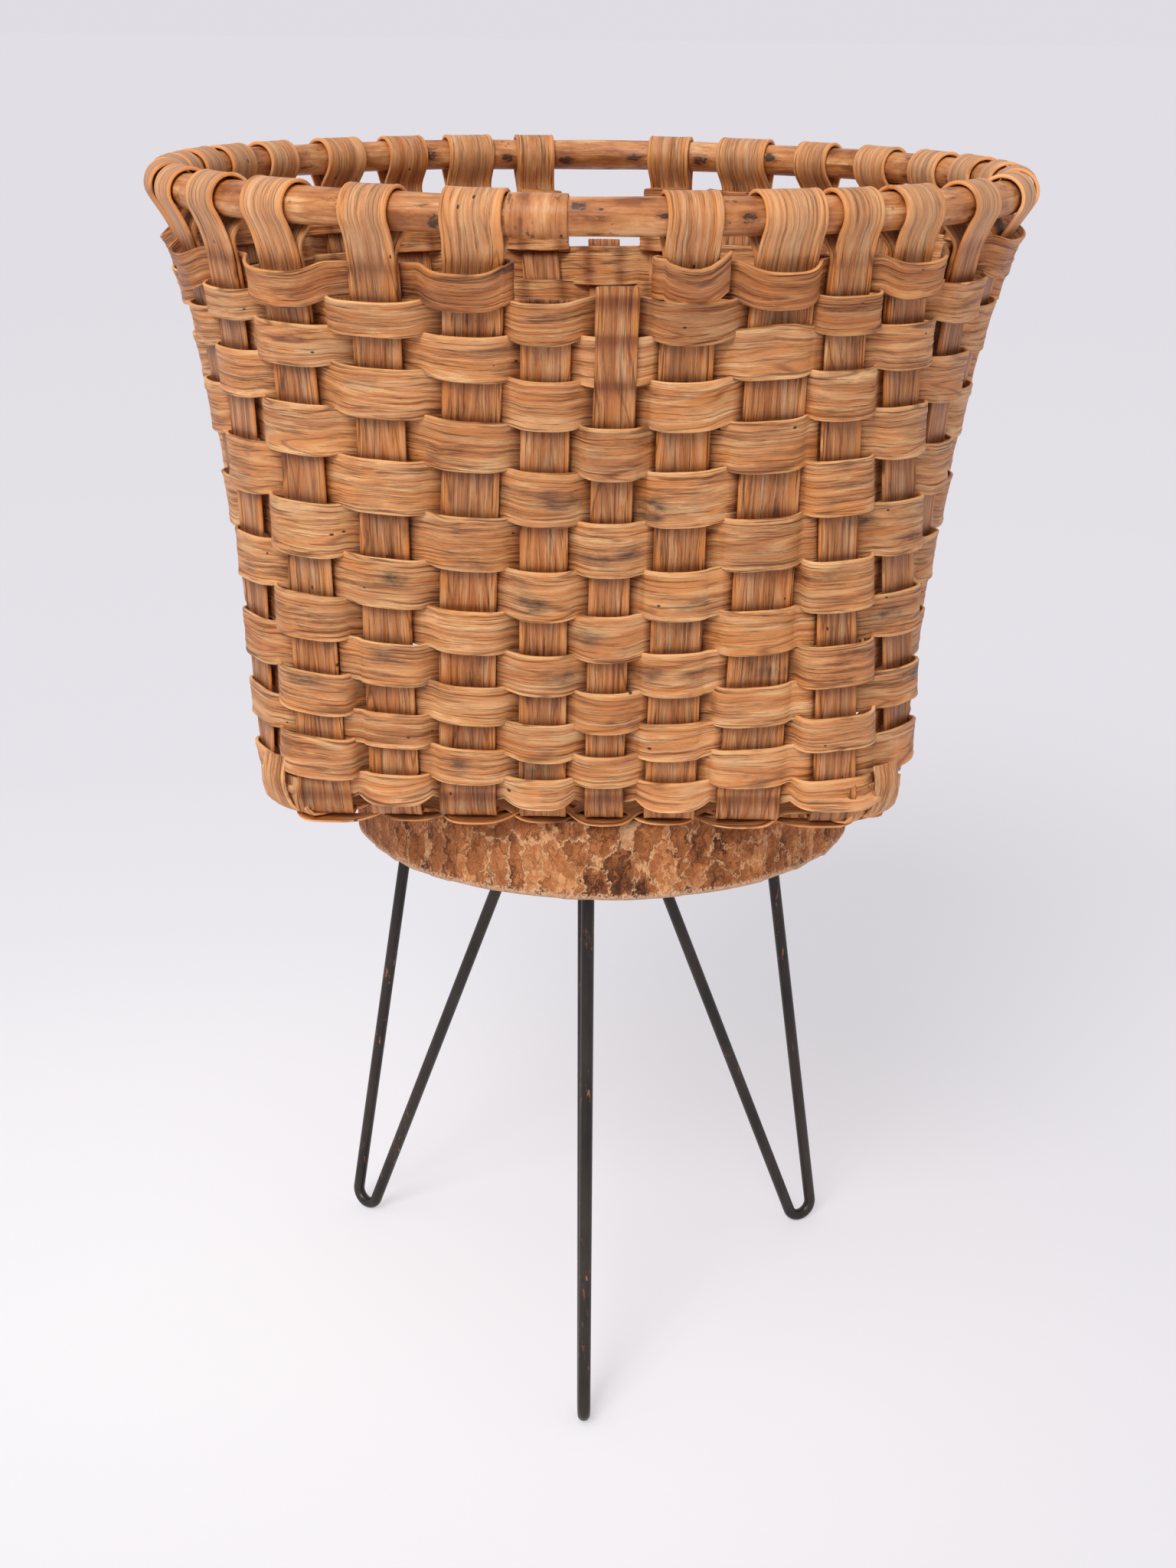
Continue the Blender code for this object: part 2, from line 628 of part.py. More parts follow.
def build_slab(finish, parent):
    """The seat: a wavy round slice with broken edges and a blind hole for each rod end."""
    bm = bmesh.new()
    rim = []
    for side in range(SLAB_SIDES):
        degrees = 360.0 * side / SLAB_SIDES
        turn = math.radians(degrees)
        wave = sum(share * math.sin(count * turn + start) for count, share, start in SLAB_WAVES)
        rim.append(bm.verts.new(polar(SLAB_RADIUS + SLAB_WAVE * wave, degrees, LEG_HEIGHT)))
    bottom = bm.faces.new(rim)
    raised = bmesh.ops.extrude_face_region(bm, geom=[bottom])["geom"]
    corners = [item for item in raised if isinstance(item, bmesh.types.BMVert)]
    bmesh.ops.translate(bm, verts=corners, vec=(0.0, 0.0, SLAB_THICKNESS))
    bmesh.ops.translate(bm, verts=bm.verts, vec=(SLAB_OFFSET_X, -BASKET_SETBACK, 0.0))
    edges = [edge for edge in bm.edges if abs(edge.verts[0].co.z - edge.verts[1].co.z) < HAIR]
    bmesh.ops.bevel(bm, geom=edges, offset=SLAB_CHAMFER, affect="EDGES", segments=1, profile=0.5, material=-1)
    slab = add_object("slab", bm, finish, parent)
    for name in LEGS:
        route, _ = leg_route(name)
        for label, tip, bend in (("outer", route[0], route[1]), ("inner", route[-1], route[-2])):
            direction = (tip - bend).normalized()
            mouth = tip - direction * ROD_DEPTH
            cutter = add_hole_cutter("hole_%s_%s" % (name, label), mouth, direction, parent)
            cut = slab.modifiers.new(cutter.name, "BOOLEAN")
            cut.object = cutter
            cut.operation = "DIFFERENCE"
            cut.solver = "EXACT"


def main():
    """Clears the scene and builds the stand and the basket."""
    for old in list(bpy.data.objects):
        bpy.data.objects.remove(old, do_unlink=True)
    splint = material("splint", (0.50, 0.27, 0.10), 0.6)
    weaving = material("weaver", (0.55, 0.31, 0.13), 0.6)
    pole = material("peeled_pole", (0.52, 0.27, 0.09), 0.5)
    log = material("hewn_log", (0.33, 0.17, 0.08), 0.75)
    steel = material("dark_steel", (0.03, 0.025, 0.022), 0.4, 1.0)
    stand = add_empty("stand", Vector((LEGS_OFFSET_X, -BASKET_SETBACK, 0.0)))
    basket = add_empty("basket_lift", Vector((0.0, 0.0, SLAB_TOP)))
    build_slab(log, stand)
    for name in LEGS:
        build_leg(name, steel, stand)
    build_splints(splint, basket)
    build_weavers(weaving, basket)
    build_pole(pole, basket)
    build_sleeve(splint, basket)


main()
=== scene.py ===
# %% [markdown]
# # A woven splint basket on a hairpin-leg stool
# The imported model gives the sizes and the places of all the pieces. This lesson dresses it: each flat splint
# is rebuilt as a thin bent strip, the pole and the seat get their worn wooden surfaces, and the legs their steel.

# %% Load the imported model
import math

import bmesh
import bpy
import numpy as np
from mathutils import Matrix, Vector


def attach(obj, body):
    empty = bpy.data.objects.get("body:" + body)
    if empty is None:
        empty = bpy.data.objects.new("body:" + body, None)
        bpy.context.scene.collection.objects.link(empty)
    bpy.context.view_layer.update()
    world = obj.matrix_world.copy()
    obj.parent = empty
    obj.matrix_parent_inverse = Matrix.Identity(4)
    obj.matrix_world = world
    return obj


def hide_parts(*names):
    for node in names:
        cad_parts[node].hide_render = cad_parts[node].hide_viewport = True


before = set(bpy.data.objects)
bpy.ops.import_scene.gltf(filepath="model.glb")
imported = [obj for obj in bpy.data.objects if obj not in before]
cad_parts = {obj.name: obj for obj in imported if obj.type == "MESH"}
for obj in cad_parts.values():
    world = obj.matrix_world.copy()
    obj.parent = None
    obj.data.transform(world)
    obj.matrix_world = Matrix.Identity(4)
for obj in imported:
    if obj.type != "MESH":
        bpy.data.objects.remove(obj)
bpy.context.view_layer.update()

MM = 0.001
draws = np.random.default_rng(11)
print("nodes to dress:", len(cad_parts))

# %% [markdown]
# ## The wall
# The base is a square and the rim is a circle. At every height in between, the wall is a mix of the two, so each
# upright leans and turns a little on its way up. All strips are placed by this one rule, which is why they fit.
# Heights in the basket count from the seat's top face.

# %% The basket's measures
SEAT_TOP = 464.4 * MM
BASE_HALF_WIDTH = 224.0 * MM
BEND_RADIUS = 26.5 * MM
BEND_ANGLE = math.radians(79.0)
BASE_LAYER = 4.55 * MM
RIM_RADIUS = 306.0 * MM
POLE_RADIUS = 12.45 * MM
SPLINT_THICKNESS = 2.6 * MM
WEAVER_THICKNESS = 2.3 * MM
SPLINT_ON_SPLINT = 2.95 * MM
ROW_GAP = 0.8 * MM
ROW_HEIGHTS = np.array([12.5, 18.5, 23.0, 25.5, 27.5, 28.0, 31.5, 34.0, 34.0, 31.5, 29.5, 29.0, 24.5, 25.0]) * MM
BEND_TOP = BASE_LAYER + BEND_RADIUS * (1.0 - math.cos(BEND_ANGLE))
ROWS = len(ROW_HEIGHTS)
EDGES = BEND_TOP + np.concatenate(([0.0], np.cumsum(ROW_HEIGHTS)))
RIM_HEIGHT = EDGES[-1] + 25.8 * MM
PLACES = 32

lengthwise = np.array([(38, -0.795), (35, -0.574), (39, -0.350), (32, -0.118),
                       (27, 0.073), (35, 0.277), (43, 0.520), (31, 0.784)])
cross = np.array([(36, -0.750), (33, -0.536), (38, -0.318), (34, -0.109),
                  (30, 0.100), (36, 0.309), (35, 0.518), (33, 0.736)])
ring = np.concatenate((lengthwise, cross, lengthwise[::-1], cross[::-1]))
WIDTH = ring[:, 0] * MM
SHARE = ring[:, 1] * np.repeat([1.0, 1.0, -1.0, -1.0], 8)
TURN = np.radians([229.8, 244.4, 257.4, 265.7, 274.0, 282.3, 294.1, 303.0,
                   312.5, 325.5, 340.0, 353.0, 5.5, 17.0, 28.5, 41.0,
                   53.1, 65.8, 78.2, 89.3, 100.2, 111.0, 122.2, 134.0,
                   147.5, 158.3, 168.2, 177.4, 186.4, 195.6, 205.6, 217.2])
FACE_TANGENT = np.repeat([(1.0, 0.0), (0.0, 1.0), (-1.0, 0.0), (0.0, -1.0)], 8, axis=0)
FACE_OUTWARD = np.repeat([(0.0, -1.0), (1.0, 0.0), (0.0, 1.0), (-1.0, 0.0)], 8, axis=0)
AT_CORNER = np.isin(np.arange(PLACES) % 8, (0, 7))
FRONT_C, FRONT_D, FRONT_E, FRONT_F = 2, 3, 4, 5
BACK_CORNER = 23.5
BACK_F, BACK_E, BACK_D = 18, 19, 20
print("rows", ROWS, "from", round(float(EDGES[0] / MM)), "to", round(float(EDGES[-1] / MM)), "mm above the seat")

# %% Lines and curves
def unit(vectors):
    """The same directions, with length 1."""
    return vectors / np.linalg.norm(vectors, axis=-1, keepdims=True)


def length_along(line, least=0.0):
    """How far along a line each of its points lies."""
    run = np.linalg.norm(np.diff(line, axis=0), axis=1)
    return np.concatenate(([0.0], np.cumsum(np.maximum(run, least))))


def hermite(u, start, end, span, leaving, arriving):
    """A smooth curve from start to end, with its directions there."""
    return ((2 * u ** 3 - 3 * u ** 2 + 1) * start + (u ** 3 - 2 * u ** 2 + u) * span * leaving
            + (3 * u ** 2 - 2 * u ** 3) * end + (u ** 3 - u ** 2) * span * arriving)


def at_height(spot, height):
    """Points in space from level ones and their heights over the seat."""
    return np.concatenate((spot, np.asarray(height + SEAT_TOP)[..., None]), axis=-1)


print("length of a square's two sides:", length_along(np.array([(0, 0), (0, 1), (1, 1)]))[-1])

# %% The wall's rule
# How the wall flares, how far the corner uprights move to the round early, and how soon all of them turn.
STEADY_FLARE, TOP_FLARE = 0.84, 0.15
CORNER_PUSH = 0.26
SIDE_TWIST, CORNER_TWIST = 0.35, 0.18


def half_width(height):
    """How far the wall stands from the axis, at the middle of a side."""
    rise = (height - BEND_TOP) / (EDGES[-1] - BEND_TOP)
    return BASE_HALF_WIDTH + (RIM_RADIUS - BASE_HALF_WIDTH) * (STEADY_FLARE * rise + TOP_FLARE * rise ** 6)


def upright_at(place, height):
    """Middle, direction along the wall and outward direction of an upright at a height."""
    roundness = np.clip((height - BEND_TOP) / (RIM_HEIGHT - BEND_TOP), 0.0, 1.0)[..., None]
    reach = half_width(height)[..., None]
    circle = np.stack((np.cos(TURN[place]), np.sin(TURN[place])), axis=-1)
    square = FACE_OUTWARD[place] * reach + FACE_TANGENT[place] * SHARE[place][..., None] * reach
    cornered = AT_CORNER[place][..., None]
    moved = roundness + np.where(cornered, CORNER_PUSH, 0.0) * roundness * (1.0 - roundness)
    turned = roundness ** np.where(cornered, CORNER_TWIST, SIDE_TWIST)
    away = unit(FACE_OUTWARD[place] * (1.0 - turned) + circle * turned)
    middle = square * (1.0 - moved) + circle * reach * moved
    return middle, np.stack((-away[..., 1], away[..., 0]), axis=-1), away


def flat_shares(height):
    """The part of the way between two uprights that lies flat on the first one, on the second one, and the way."""
    middle, along, _ = upright_at(np.arange(PLACES), np.full(PLACES, height))
    side = along * 0.5 * WIDTH[:, None]
    gap = np.linalg.norm(np.roll(middle - side, -1, axis=0) - (middle + side), axis=1)
    first, second = 0.5 * WIDTH, 0.5 * np.roll(WIDTH, -1)
    whole = first + gap + second
    return first / whole, second / whole, whole


def wall_at(station, height, out, shares):
    """Points of the wall. A station counts uprights round the basket, and out is a shift away from the wall."""
    here = np.floor(station).astype(int) % PLACES
    there = (here + 1) % PLACES
    s = (station - np.floor(station))[..., None]
    near, near_along, near_away = upright_at(here, height)
    far, far_along, far_away = upright_at(there, height)
    near_half, far_half = 0.5 * WIDTH[here][..., None], 0.5 * WIDTH[there][..., None]
    head, tail = shares[0][here][..., None], shares[1][here][..., None]
    start, end = near + near_along * near_half, far - far_along * far_half
    u = np.clip((s - head) / (1.0 - head - tail), 0.0, 1.0)
    chord = np.linalg.norm(end - start, axis=-1, keepdims=True)
    run = unit((6 * u ** 2 - 6 * u) * start + (3 * u ** 2 - 4 * u + 1) * chord * near_along
               + (6 * u - 6 * u ** 2) * end + (3 * u ** 2 - 2 * u) * chord * far_along)
    on_first, on_second = s < head, s > 1.0 - tail
    spot = np.where(on_first, near + near_along * near_half * s / head, np.where(
        on_second, far - far_along * far_half * (1.0 - s) / tail, hermite(u, start, end, chord, near_along, far_along)))
    away = np.where(on_first, near_away, np.where(
        on_second, far_away, np.stack((run[..., 1], -run[..., 0]), axis=-1)))
    return at_height(spot + away * out[..., None], height)


print("half width at the foot and at the top:", [round(float(half_width(EDGES[i]) / MM), 1) for i in (0, -1)], "mm")

# %% [markdown]
# ## From a flat strip to a bent one
# A splint is a long, thin, flat piece of wood. Blender's grid operator makes it flat, with its own flat UV map,
# and then each corner point is moved to where the bent strip has it. The map stays in real metres, so the wood
# fibres in the materials run along the strip wherever it bends. Solidify gives the thickness, and Bevel rounds
# the cut edges a little.

# %% From a bmesh to an object
def to_object(name, bm, material):
    """An object with one material from a finished bmesh."""
    mesh = bpy.data.meshes.new(name)
    bm.to_mesh(mesh)
    bm.free()
    mesh.materials.append(material)
    made = bpy.data.objects.new(name, mesh)
    bpy.context.scene.collection.objects.link(made)
    return made


# %% Bend a grid into a strip
WORN_EDGE, SHARP, WELD = 0.6 * MM, math.radians(60.0), 0.02 * MM
FIBRE_SHIFT = 40.0


def strip(name, points, along, across, thickness, material, body, marks=None, pale=None, closed=False):
    """A strip from a grid of points: first index along the fibre, second across it.

    Marks say where it is stained. Pale says how light it is along its length: its tone, darkened as painted shade
    where it slips behind an upright or lies under a row, and lighter on the loops over the rim, partly as bleaching
    and partly as painted light from above.
    """
    steps, lanes = points.shape[0] - 1, points.shape[1] - 1
    shift = draws.uniform(0.0, FIBRE_SHIFT)
    bm = bmesh.new()
    uv = bm.loops.layers.uv.new("fibre")
    bmesh.ops.create_grid(bm, x_segments=steps, y_segments=lanes, size=1.0, calc_uvs=True)
    edge, stain, tone_and_painted_shade = [bm.verts.layers.float.new(label) for label in ("edge", "stain", "tone_and_painted_shade")]

    def counted(flat):
        """The step along and the lane across of a place on the flat grid."""
        return round((flat.x + 1.0) * 0.5 * steps), round((flat.y + 1.0) * 0.5 * lanes)

    for face in bm.faces:
        face.smooth = True
        for corner in face.loops:
            i, j = counted(corner.vert.co)
            corner[uv].uv = (along[i] + shift, across[j])
    for vert in bm.verts:
        i, j = counted(vert.co)
        vert[edge] = abs(2.0 * j / lanes - 1.0)
        vert[stain] = 0.0 if marks is None else marks[i, j]
        vert[tone_and_painted_shade] = 1.0 if pale is None else pale[i]
        vert.co = points[i, j]
    if closed:
        bmesh.ops.remove_doubles(bm, verts=bm.verts, dist=WELD)
    made = to_object(name, bm, material)
    wall = made.modifiers.new("thickness", "SOLIDIFY")
    wall.thickness, wall.offset, wall.use_even_offset = thickness, 0.0, True
    rounding = made.modifiers.new("worn edges", "BEVEL")
    rounding.width, rounding.segments = WORN_EDGE, 2
    rounding.limit_method, rounding.angle_limit = "ANGLE", SHARP
    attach(made, body)
    return made


# %% Raised fibres
def ridges(across, along, count, height, seed):
    """Raised fibres: a few long ridges that wander a little across a strip."""
    local = np.random.default_rng(seed)
    total = np.zeros((len(along), len(across)))
    for _ in range(count):
        place = local.choice((-1.0, 1.0)) * (0.95 - 0.9 * local.uniform(0.0, 1.0) ** 1.6)
        width = local.uniform(0.035, 0.09)
        sway = 0.05 * np.sin(along * local.uniform(8.0, 30.0) + local.uniform(0.0, 6.3))
        size = height * local.uniform(0.4, 1.0) * (0.6 + 0.4 * np.sin(along * local.uniform(15.0, 60.0)))
        total += size[:, None] * np.exp(-((across[None, :] - place - sway[:, None]) / width) ** 2)
    return total


print("highest of five ridges:", round(float(ridges(np.linspace(-1, 1, 99), np.zeros(1), 5, 1.0, 0).max()), 2))

# %% [markdown]
# ## Colours and surfaces of split wood
# Split wood shows long fibres: fine light and dark lines, wider bands of orange brown and pale tan, and here and
# there a grey stain, a knot or a pin hole. The light lines lie on raised fibres and the dark ones in grooves, so
# their colour is partly the wood's own and partly painted highlight and painted shade. Every splint shares these
# effects, so they are node groups, placed in each material with its own values. They read the strip's UV map,
# which is in metres along and across the fibre.

# %% Nodes, groups and materials
def feed(tree, socket, value):
    """Link a socket to a value, or set it."""
    if isinstance(value, bpy.types.NodeSocket):
        tree.links.new(value, socket)
    else:
        socket.default_value = value


def add_node(tree, kind, inputs, **settings):
    """The outputs of a new node that has these settings, and values or links on its inputs."""
    made = tree.nodes.new("ShaderNode" + kind)
    for name, value in settings.items():
        setattr(made, name, value)
    for name, value in inputs.items():
        feed(tree, made.inputs[name], value)
    return made.outputs


def new_group(name, inputs, outputs):
    """An empty node group, and the sockets at its two ends. An input without a value is a vector."""
    group = bpy.data.node_groups.new(name, "ShaderNodeTree")
    for label, value in inputs.items():
        kind = "NodeSocketVector" if value is None else "NodeSocketFloat"
        made = group.interface.new_socket(label, in_out="INPUT", socket_type=kind)
        if value is not None:
            made.default_value = value
    for label in outputs:
        group.interface.new_socket(label, in_out="OUTPUT", socket_type="NodeSocketFloat")
    return group, group.nodes.new("NodeGroupInput").outputs, group.nodes.new("NodeGroupOutput").inputs


def new_material(name):
    """A material, its node tree and its shader."""
    made = bpy.data.materials.new(name)
    made.use_nodes = True
    return made, made.node_tree, made.node_tree.nodes["Principled BSDF"]


def dress(tree, shader, inputs, height=None, depth=0.0, strength=1.0):
    """Feed the shader's inputs. Where a height is given, it raises the surface by up to the depth."""
    if height is not None:
        inputs["Normal"] = add_node(tree, "Bump", {"Height": height, "Strength": strength, "Distance": depth})[0]
    for name, value in inputs.items():
        feed(tree, shader.inputs[name], value)


# %% Sums on values and vectors
def math_node(tree, operation, first, second=0.0, third=0.0):
    """One sum on values."""
    return add_node(tree, "Math", {0: first, 1: second, 2: third}, operation=operation)[0]


def product(tree, first, second):
    """Two values multiplied."""
    return math_node(tree, "MULTIPLY", first, second)


def inverse(tree, value):
    """1 less the value."""
    return math_node(tree, "SUBTRACT", 1.0, value)


def weighted(tree, part, *others):
    """The sum of values, each with its weight."""
    if not others:
        return product(tree, *part)
    return math_node(tree, "MULTIPLY_ADD", *part, weighted(tree, *others))


def vector_node(tree, operation, first, second=(0.0, 0.0, 0.0)):
    """One sum on vectors."""
    return add_node(tree, "VectorMath", {0: first, 1: second}, operation=operation)[0]


def between(tree, value, low, high, start=0.0, end=1.0):
    """From start to end as a value goes from low to high, and no further."""
    return add_node(tree, "MapRange", {"Value": value, "From Min": low, "From Max": high,
                                       "To Min": start, "To Max": end})[0]


# %% Colours and patterns
def ramp(tree, factor, stops):
    """A colour ramp through stops of place and colour."""
    made = tree.nodes.new("ShaderNodeValToRGB")
    feed(tree, made.inputs["Fac"], factor)
    band = made.color_ramp
    for element, (place, colour) in zip(band.elements, (stops[0], stops[-1])):
        element.position, element.color = place, (*colour, 1.0)
    for place, colour in stops[1:-1]:
        band.elements.new(place).color = (*colour, 1.0)
    return made.outputs["Color"]


def mix_colours(tree, factor, first, second, blend="MIX"):
    """Two colours mixed."""
    return add_node(tree, "Mix", {0: factor, 6: first, 7: second}, data_type="RGBA", blend_type=blend)[2]


def tinted(tree, colour, *layers):
    """A colour under tints, one on the other. Each has a mask, the mask's strength and its own colour."""
    for mask, strength, tint in layers:
        colour = mix_colours(tree, product(tree, mask, strength), colour, (*tint, 1.0))
    return colour


def stretched(tree, vector, scale):
    """The same coordinates, scaled by axis."""
    return add_node(tree, "Mapping", {"Vector": vector, "Scale": scale})["Vector"]


def noise(tree, vector, scale, detail=2.0, rough=0.5, distortion=0.0):
    """Soft noise as a value, scaled by axis."""
    return add_node(tree, "TexNoise", {"Vector": stretched(tree, vector, scale), "Scale": 1.0, "Detail": detail,
                                       "Roughness": rough, "Distortion": distortion})["Fac"]


def cells(tree, vector, feature="F1"):
    """Irregular cells, and the two random values that each cell has."""
    found = add_node(tree, "TexVoronoi", {"Vector": vector, "Scale": 1.0}, feature=feature)
    picked = add_node(tree, "SeparateColor", {"Color": found["Color"]})
    return found, picked[0], picked[1]


def attribute(tree, name):
    """A value that is stored on the mesh."""
    return add_node(tree, "Attribute", {}, attribute_type="GEOMETRY", attribute_name=name)["Fac"]


def fibre_map(tree):
    """The UV map in metres along and across the fibre."""
    return add_node(tree, "UVMap", {}, uv_map="fibre")["UV"]


def object_place(tree):
    """The place on the object, in metres."""
    return add_node(tree, "TexCoord", {})["Object"]


# %% Long fibres
FIBRES = {"Dark": ((15.0, 560.0, 2.0), 3.0, 0.6, 0.56, 0.65), "Light": ((12.0, 420.0, 2.0), 3.0, 0.6, 0.54, 0.64),
          "Lines": ((80.0, 1900.0, 1.0), 3.0, 0.7, 0.34, 0.66), "Bands": ((9.0, 125.0, 1.0), 3.0, 0.55, 0.35, 0.65),
          "Blotches": ((26.0, 62.0, 1.0), 4.0, 0.6, 0.36, 0.64), "Warm": ((11.0, 34.0, 7.0), 3.0, 0.6, 0.38, 0.62)}


def make_fibre_group():
    """Growth rings cut lengthwise, dark and light fibres, fine lines and blotches, all drawn out along the strip."""
    group, inlet, outlet = new_group("long fibres", {"Vector": None, "Ring Count": 9.0}, ["Rings", *FIBRES, "Height"])
    waver = noise(group, inlet["Vector"], (22.0, 26.0, 1.0))
    lean = product(group, math_node(group, "SUBTRACT", waver, 0.5), 0.0035)
    vector = vector_node(group, "ADD", inlet["Vector"], add_node(group, "CombineXYZ", {"Y": lean})[0])
    shifted = vector_node(group, "ADD", vector, (3.7, 1.9, 0.0))
    counted = product(group, noise(group, vector, (3.4, 52.0, 1.0), 1.0, 0.4), inlet["Ring Count"])
    found = {"Rings": product(group, math_node(group, "PINGPONG", counted, 0.5), 2.0)}
    for name, (scale, detail, rough, low, high) in FIBRES.items():
        soft = noise(group, shifted if name == "Light" else vector, scale, detail, rough)
        found[name] = between(group, soft, low, high)
    # The height rises with the light fibres and the rings and sinks with the dark fibres. Where a finish lightens by
    # the same light fibres and high rings and darkens by the dark fibres and low rings, this is partly painted
    # highlight on the ridges and painted shade in the grooves.
    found["Height"] = weighted(group, (found["Light"], 0.42), (found["Dark"], -0.45), (found["Rings"], 0.30),
                               (found["Lines"], 0.16))
    for name, value in found.items():
        group.links.new(value, outlet[name])
    return group


# %% Knots, pin holes and stains
def make_flaw_group():
    """Dark knots and pin holes in a few places, and soft grey stains where the strip is marked."""
    group, inlet, outlet = new_group("flaws", {"Vector": None, "Stain": 0.0}, ["Knots", "Holes", "Stains"])
    vector = inlet["Vector"]
    knots, pick, _ = cells(group, stretched(group, vector, (11.0, 26.0, 1.0)))
    far = math_node(group, "MULTIPLY_ADD", noise(group, vector, (150.0, 420.0, 1.0)), 0.10, knots["Distance"])
    knot = product(group, inverse(group, between(group, far, 0.07, 0.17)),
                   math_node(group, "GREATER_THAN", pick, 0.62))
    holes, _, pick = cells(group, stretched(group, vector, (42.0, 75.0, 1.0)))
    hole = product(group, math_node(group, "LESS_THAN", holes["Distance"], 0.062),
                   math_node(group, "GREATER_THAN", pick, 0.42))
    cloud = noise(group, vector, (60.0, 160.0, 1.0), 4.0, 0.65)
    stains = product(group, inlet["Stain"], between(group, cloud, 0.30, 0.62))
    for name, value in (("Knots", knot), ("Holes", hole), ("Stains", stains)):
        group.links.new(value, outlet[name])
    return group


fibres = make_fibre_group()
flaws = make_flaw_group()
print("shared effects:", fibres.name, "and", flaws.name)

# %% [markdown]
# ### Three kinds of split wood
# The uprights are a little darker and more orange between the rows, the weaving strips are honey tan, and the top
# row is the darkest, where hands have worn it. Cut edges are paler than the faces.

# %% Make a finish of split wood
def wood_effects(tree):
    """The UV map, the stain on it and the outputs of the two shared groups."""
    uv, stain = fibre_map(tree), attribute(tree, "stain")
    return (uv, stain, add_node(tree, "Group", {"Vector": uv}, node_tree=fibres),
            add_node(tree, "Group", {"Vector": uv, "Stain": stain}, node_tree=flaws))


def times(colour, *factors):
    """A colour with its channels multiplied, up to 1."""
    return [min(1.0, channel * factor) for channel, factor in zip(colour, factors)]


def split_wood(name, dark, middle, light, edge_colour, bump, edge_share, greyness, open_streaks, middle_streaks):
    """A finish from four colours of the wood.

    The edge share says how far the edge colour reaches inwards, greyness how much grey brown lies in patches, the
    open streaks how strong the dark streaks are where the strip lies open to light and hands, and the middle
    streaks how strong they are along its middle, which is smoother than its edges.
    """
    made, tree, shader = new_material(name)
    _, _, fibre, flaw = wood_effects(tree)
    blotches, rings = fibre["Blotches"], fibre["Rings"]
    edge, tone_and_painted_shade = attribute(tree, "edge"), attribute(tree, "tone_and_painted_shade")
    tone = weighted(tree, (fibre["Bands"], 0.42), (blotches, 0.34), (fibre["Lines"], 0.24))
    colour = ramp(tree, tone, [(0.14, dark), (0.38, middle), (0.58, middle), (0.86, light)])
    reach = math_node(tree, "MULTIPLY_ADD", blotches, 0.20, edge)
    torn = between(tree, math_node(tree, "MULTIPLY_ADD", blotches, 0.45, edge), 0.40, 1.10)
    streaks = math_node(tree, "MULTIPLY_ADD", torn, 1.0 - middle_streaks, middle_streaks)
    quiet = product(tree, between(tree, tone_and_painted_shade, 0.76, 1.0, 1.0, open_streaks), streaks)
    # Where the tone value is near its top, most of all on the loops over the rim, the colour is lightened. This is
    # partly bleaching and partly painted light from above.
    bleached_and_lit = product(tree, between(tree, tone_and_painted_shade, 0.80, 1.0), 1.0 - open_streaks)
    # The light tints on high rings and light fibres, and the dark tints on low rings and dark fibres, follow the raised
    # fibres and grooves of the bump. They are partly the fibres' own colour and partly painted highlight and painted
    # shade.
    colour = tinted(
        tree, colour,
        (between(tree, fibre["Warm"], 0.42, 0.0), greyness, (0.42, 0.190, 0.085)),
        (between(tree, fibre["Warm"], 0.60, 1.0), 0.50, (0.74, 0.245, 0.045)),
        (between(tree, reach, edge_share, edge_share + 0.18), 0.70, edge_colour),
        (between(tree, rings, 0.62, 0.98), 0.42, light),
        (between(tree, blotches, 0.5, 0.95), product(tree, inverse(tree, torn), 0.5), times(dark, 1.9, 2.3, 2.6)),
        (bleached_and_lit, 0.5, light),
        (between(tree, rings, 0.20, 0.03), product(tree, quiet, 0.70), dark),
        (fibre["Light"], product(tree, streaks, 0.52), times(light, 1.05, 1.08, 1.10)),
        (fibre["Dark"], product(tree, quiet, 0.82), times(dark, 0.85, 0.8, 0.75)))
    # Where the tone value is low, the colour is darkened and browned. This gives the passes' differing tone, and
    # painted shade where the strips slip behind uprights or lie under rows.
    colour = mix_colours(tree, inverse(tree, tone_and_painted_shade), colour, (0.34, 0.22, 0.15, 1.0), "MULTIPLY")
    colour = tinted(tree, colour, (flaw["Stains"], 0.88, (0.048, 0.031, 0.021)),
                    (flaw["Knots"], 0.75, (0.10, 0.037, 0.013)), (flaw["Holes"], 0.9, (0.025, 0.010, 0.005)))
    height = math_node(tree, "SUBTRACT", fibre["Height"], product(tree, flaw["Holes"], 0.8))
    dress(tree, shader, {"Base Color": colour, "Roughness": between(tree, blotches, 0.0, 1.0, 0.40, 0.58),
                         "Specular IOR Level": 0.38}, height, bump)
    return made


weaver_wood = split_wood("woven strip wood", (0.185, 0.048, 0.010), (0.70, 0.262, 0.078), (1.0, 0.60, 0.29),
                         (0.95, 0.50, 0.20), 1.7 * MM, 0.93, 0.36, open_streaks=0.88, middle_streaks=0.68)
upright_wood = split_wood("upright splint wood", (0.180, 0.052, 0.014), (0.68, 0.258, 0.084), (1.0, 0.60, 0.31),
                          (0.86, 0.31, 0.065), 1.3 * MM, 0.70, 0.50, open_streaks=0.55, middle_streaks=0.50)
dark_wood = split_wood("worn top strip wood", (0.110, 0.030, 0.008), (0.54, 0.172, 0.043), (0.90, 0.44, 0.17),
                       (0.78, 0.35, 0.11), 1.6 * MM, 0.93, 0.30, open_streaks=1.0, middle_streaks=0.55)
print("woods:", weaver_wood.name, upright_wood.name, dark_wood.name)

# %% [markdown]
# ## The rows of weaving
# A row passes outside one upright and inside the next, and the row below does the opposite. The strips are a
# little wider than the rows are high: each bulges outward and widens over an upright, and lies a little over its
# neighbours where it dives between two. So the way round is a wave, and the two edges swell with it.

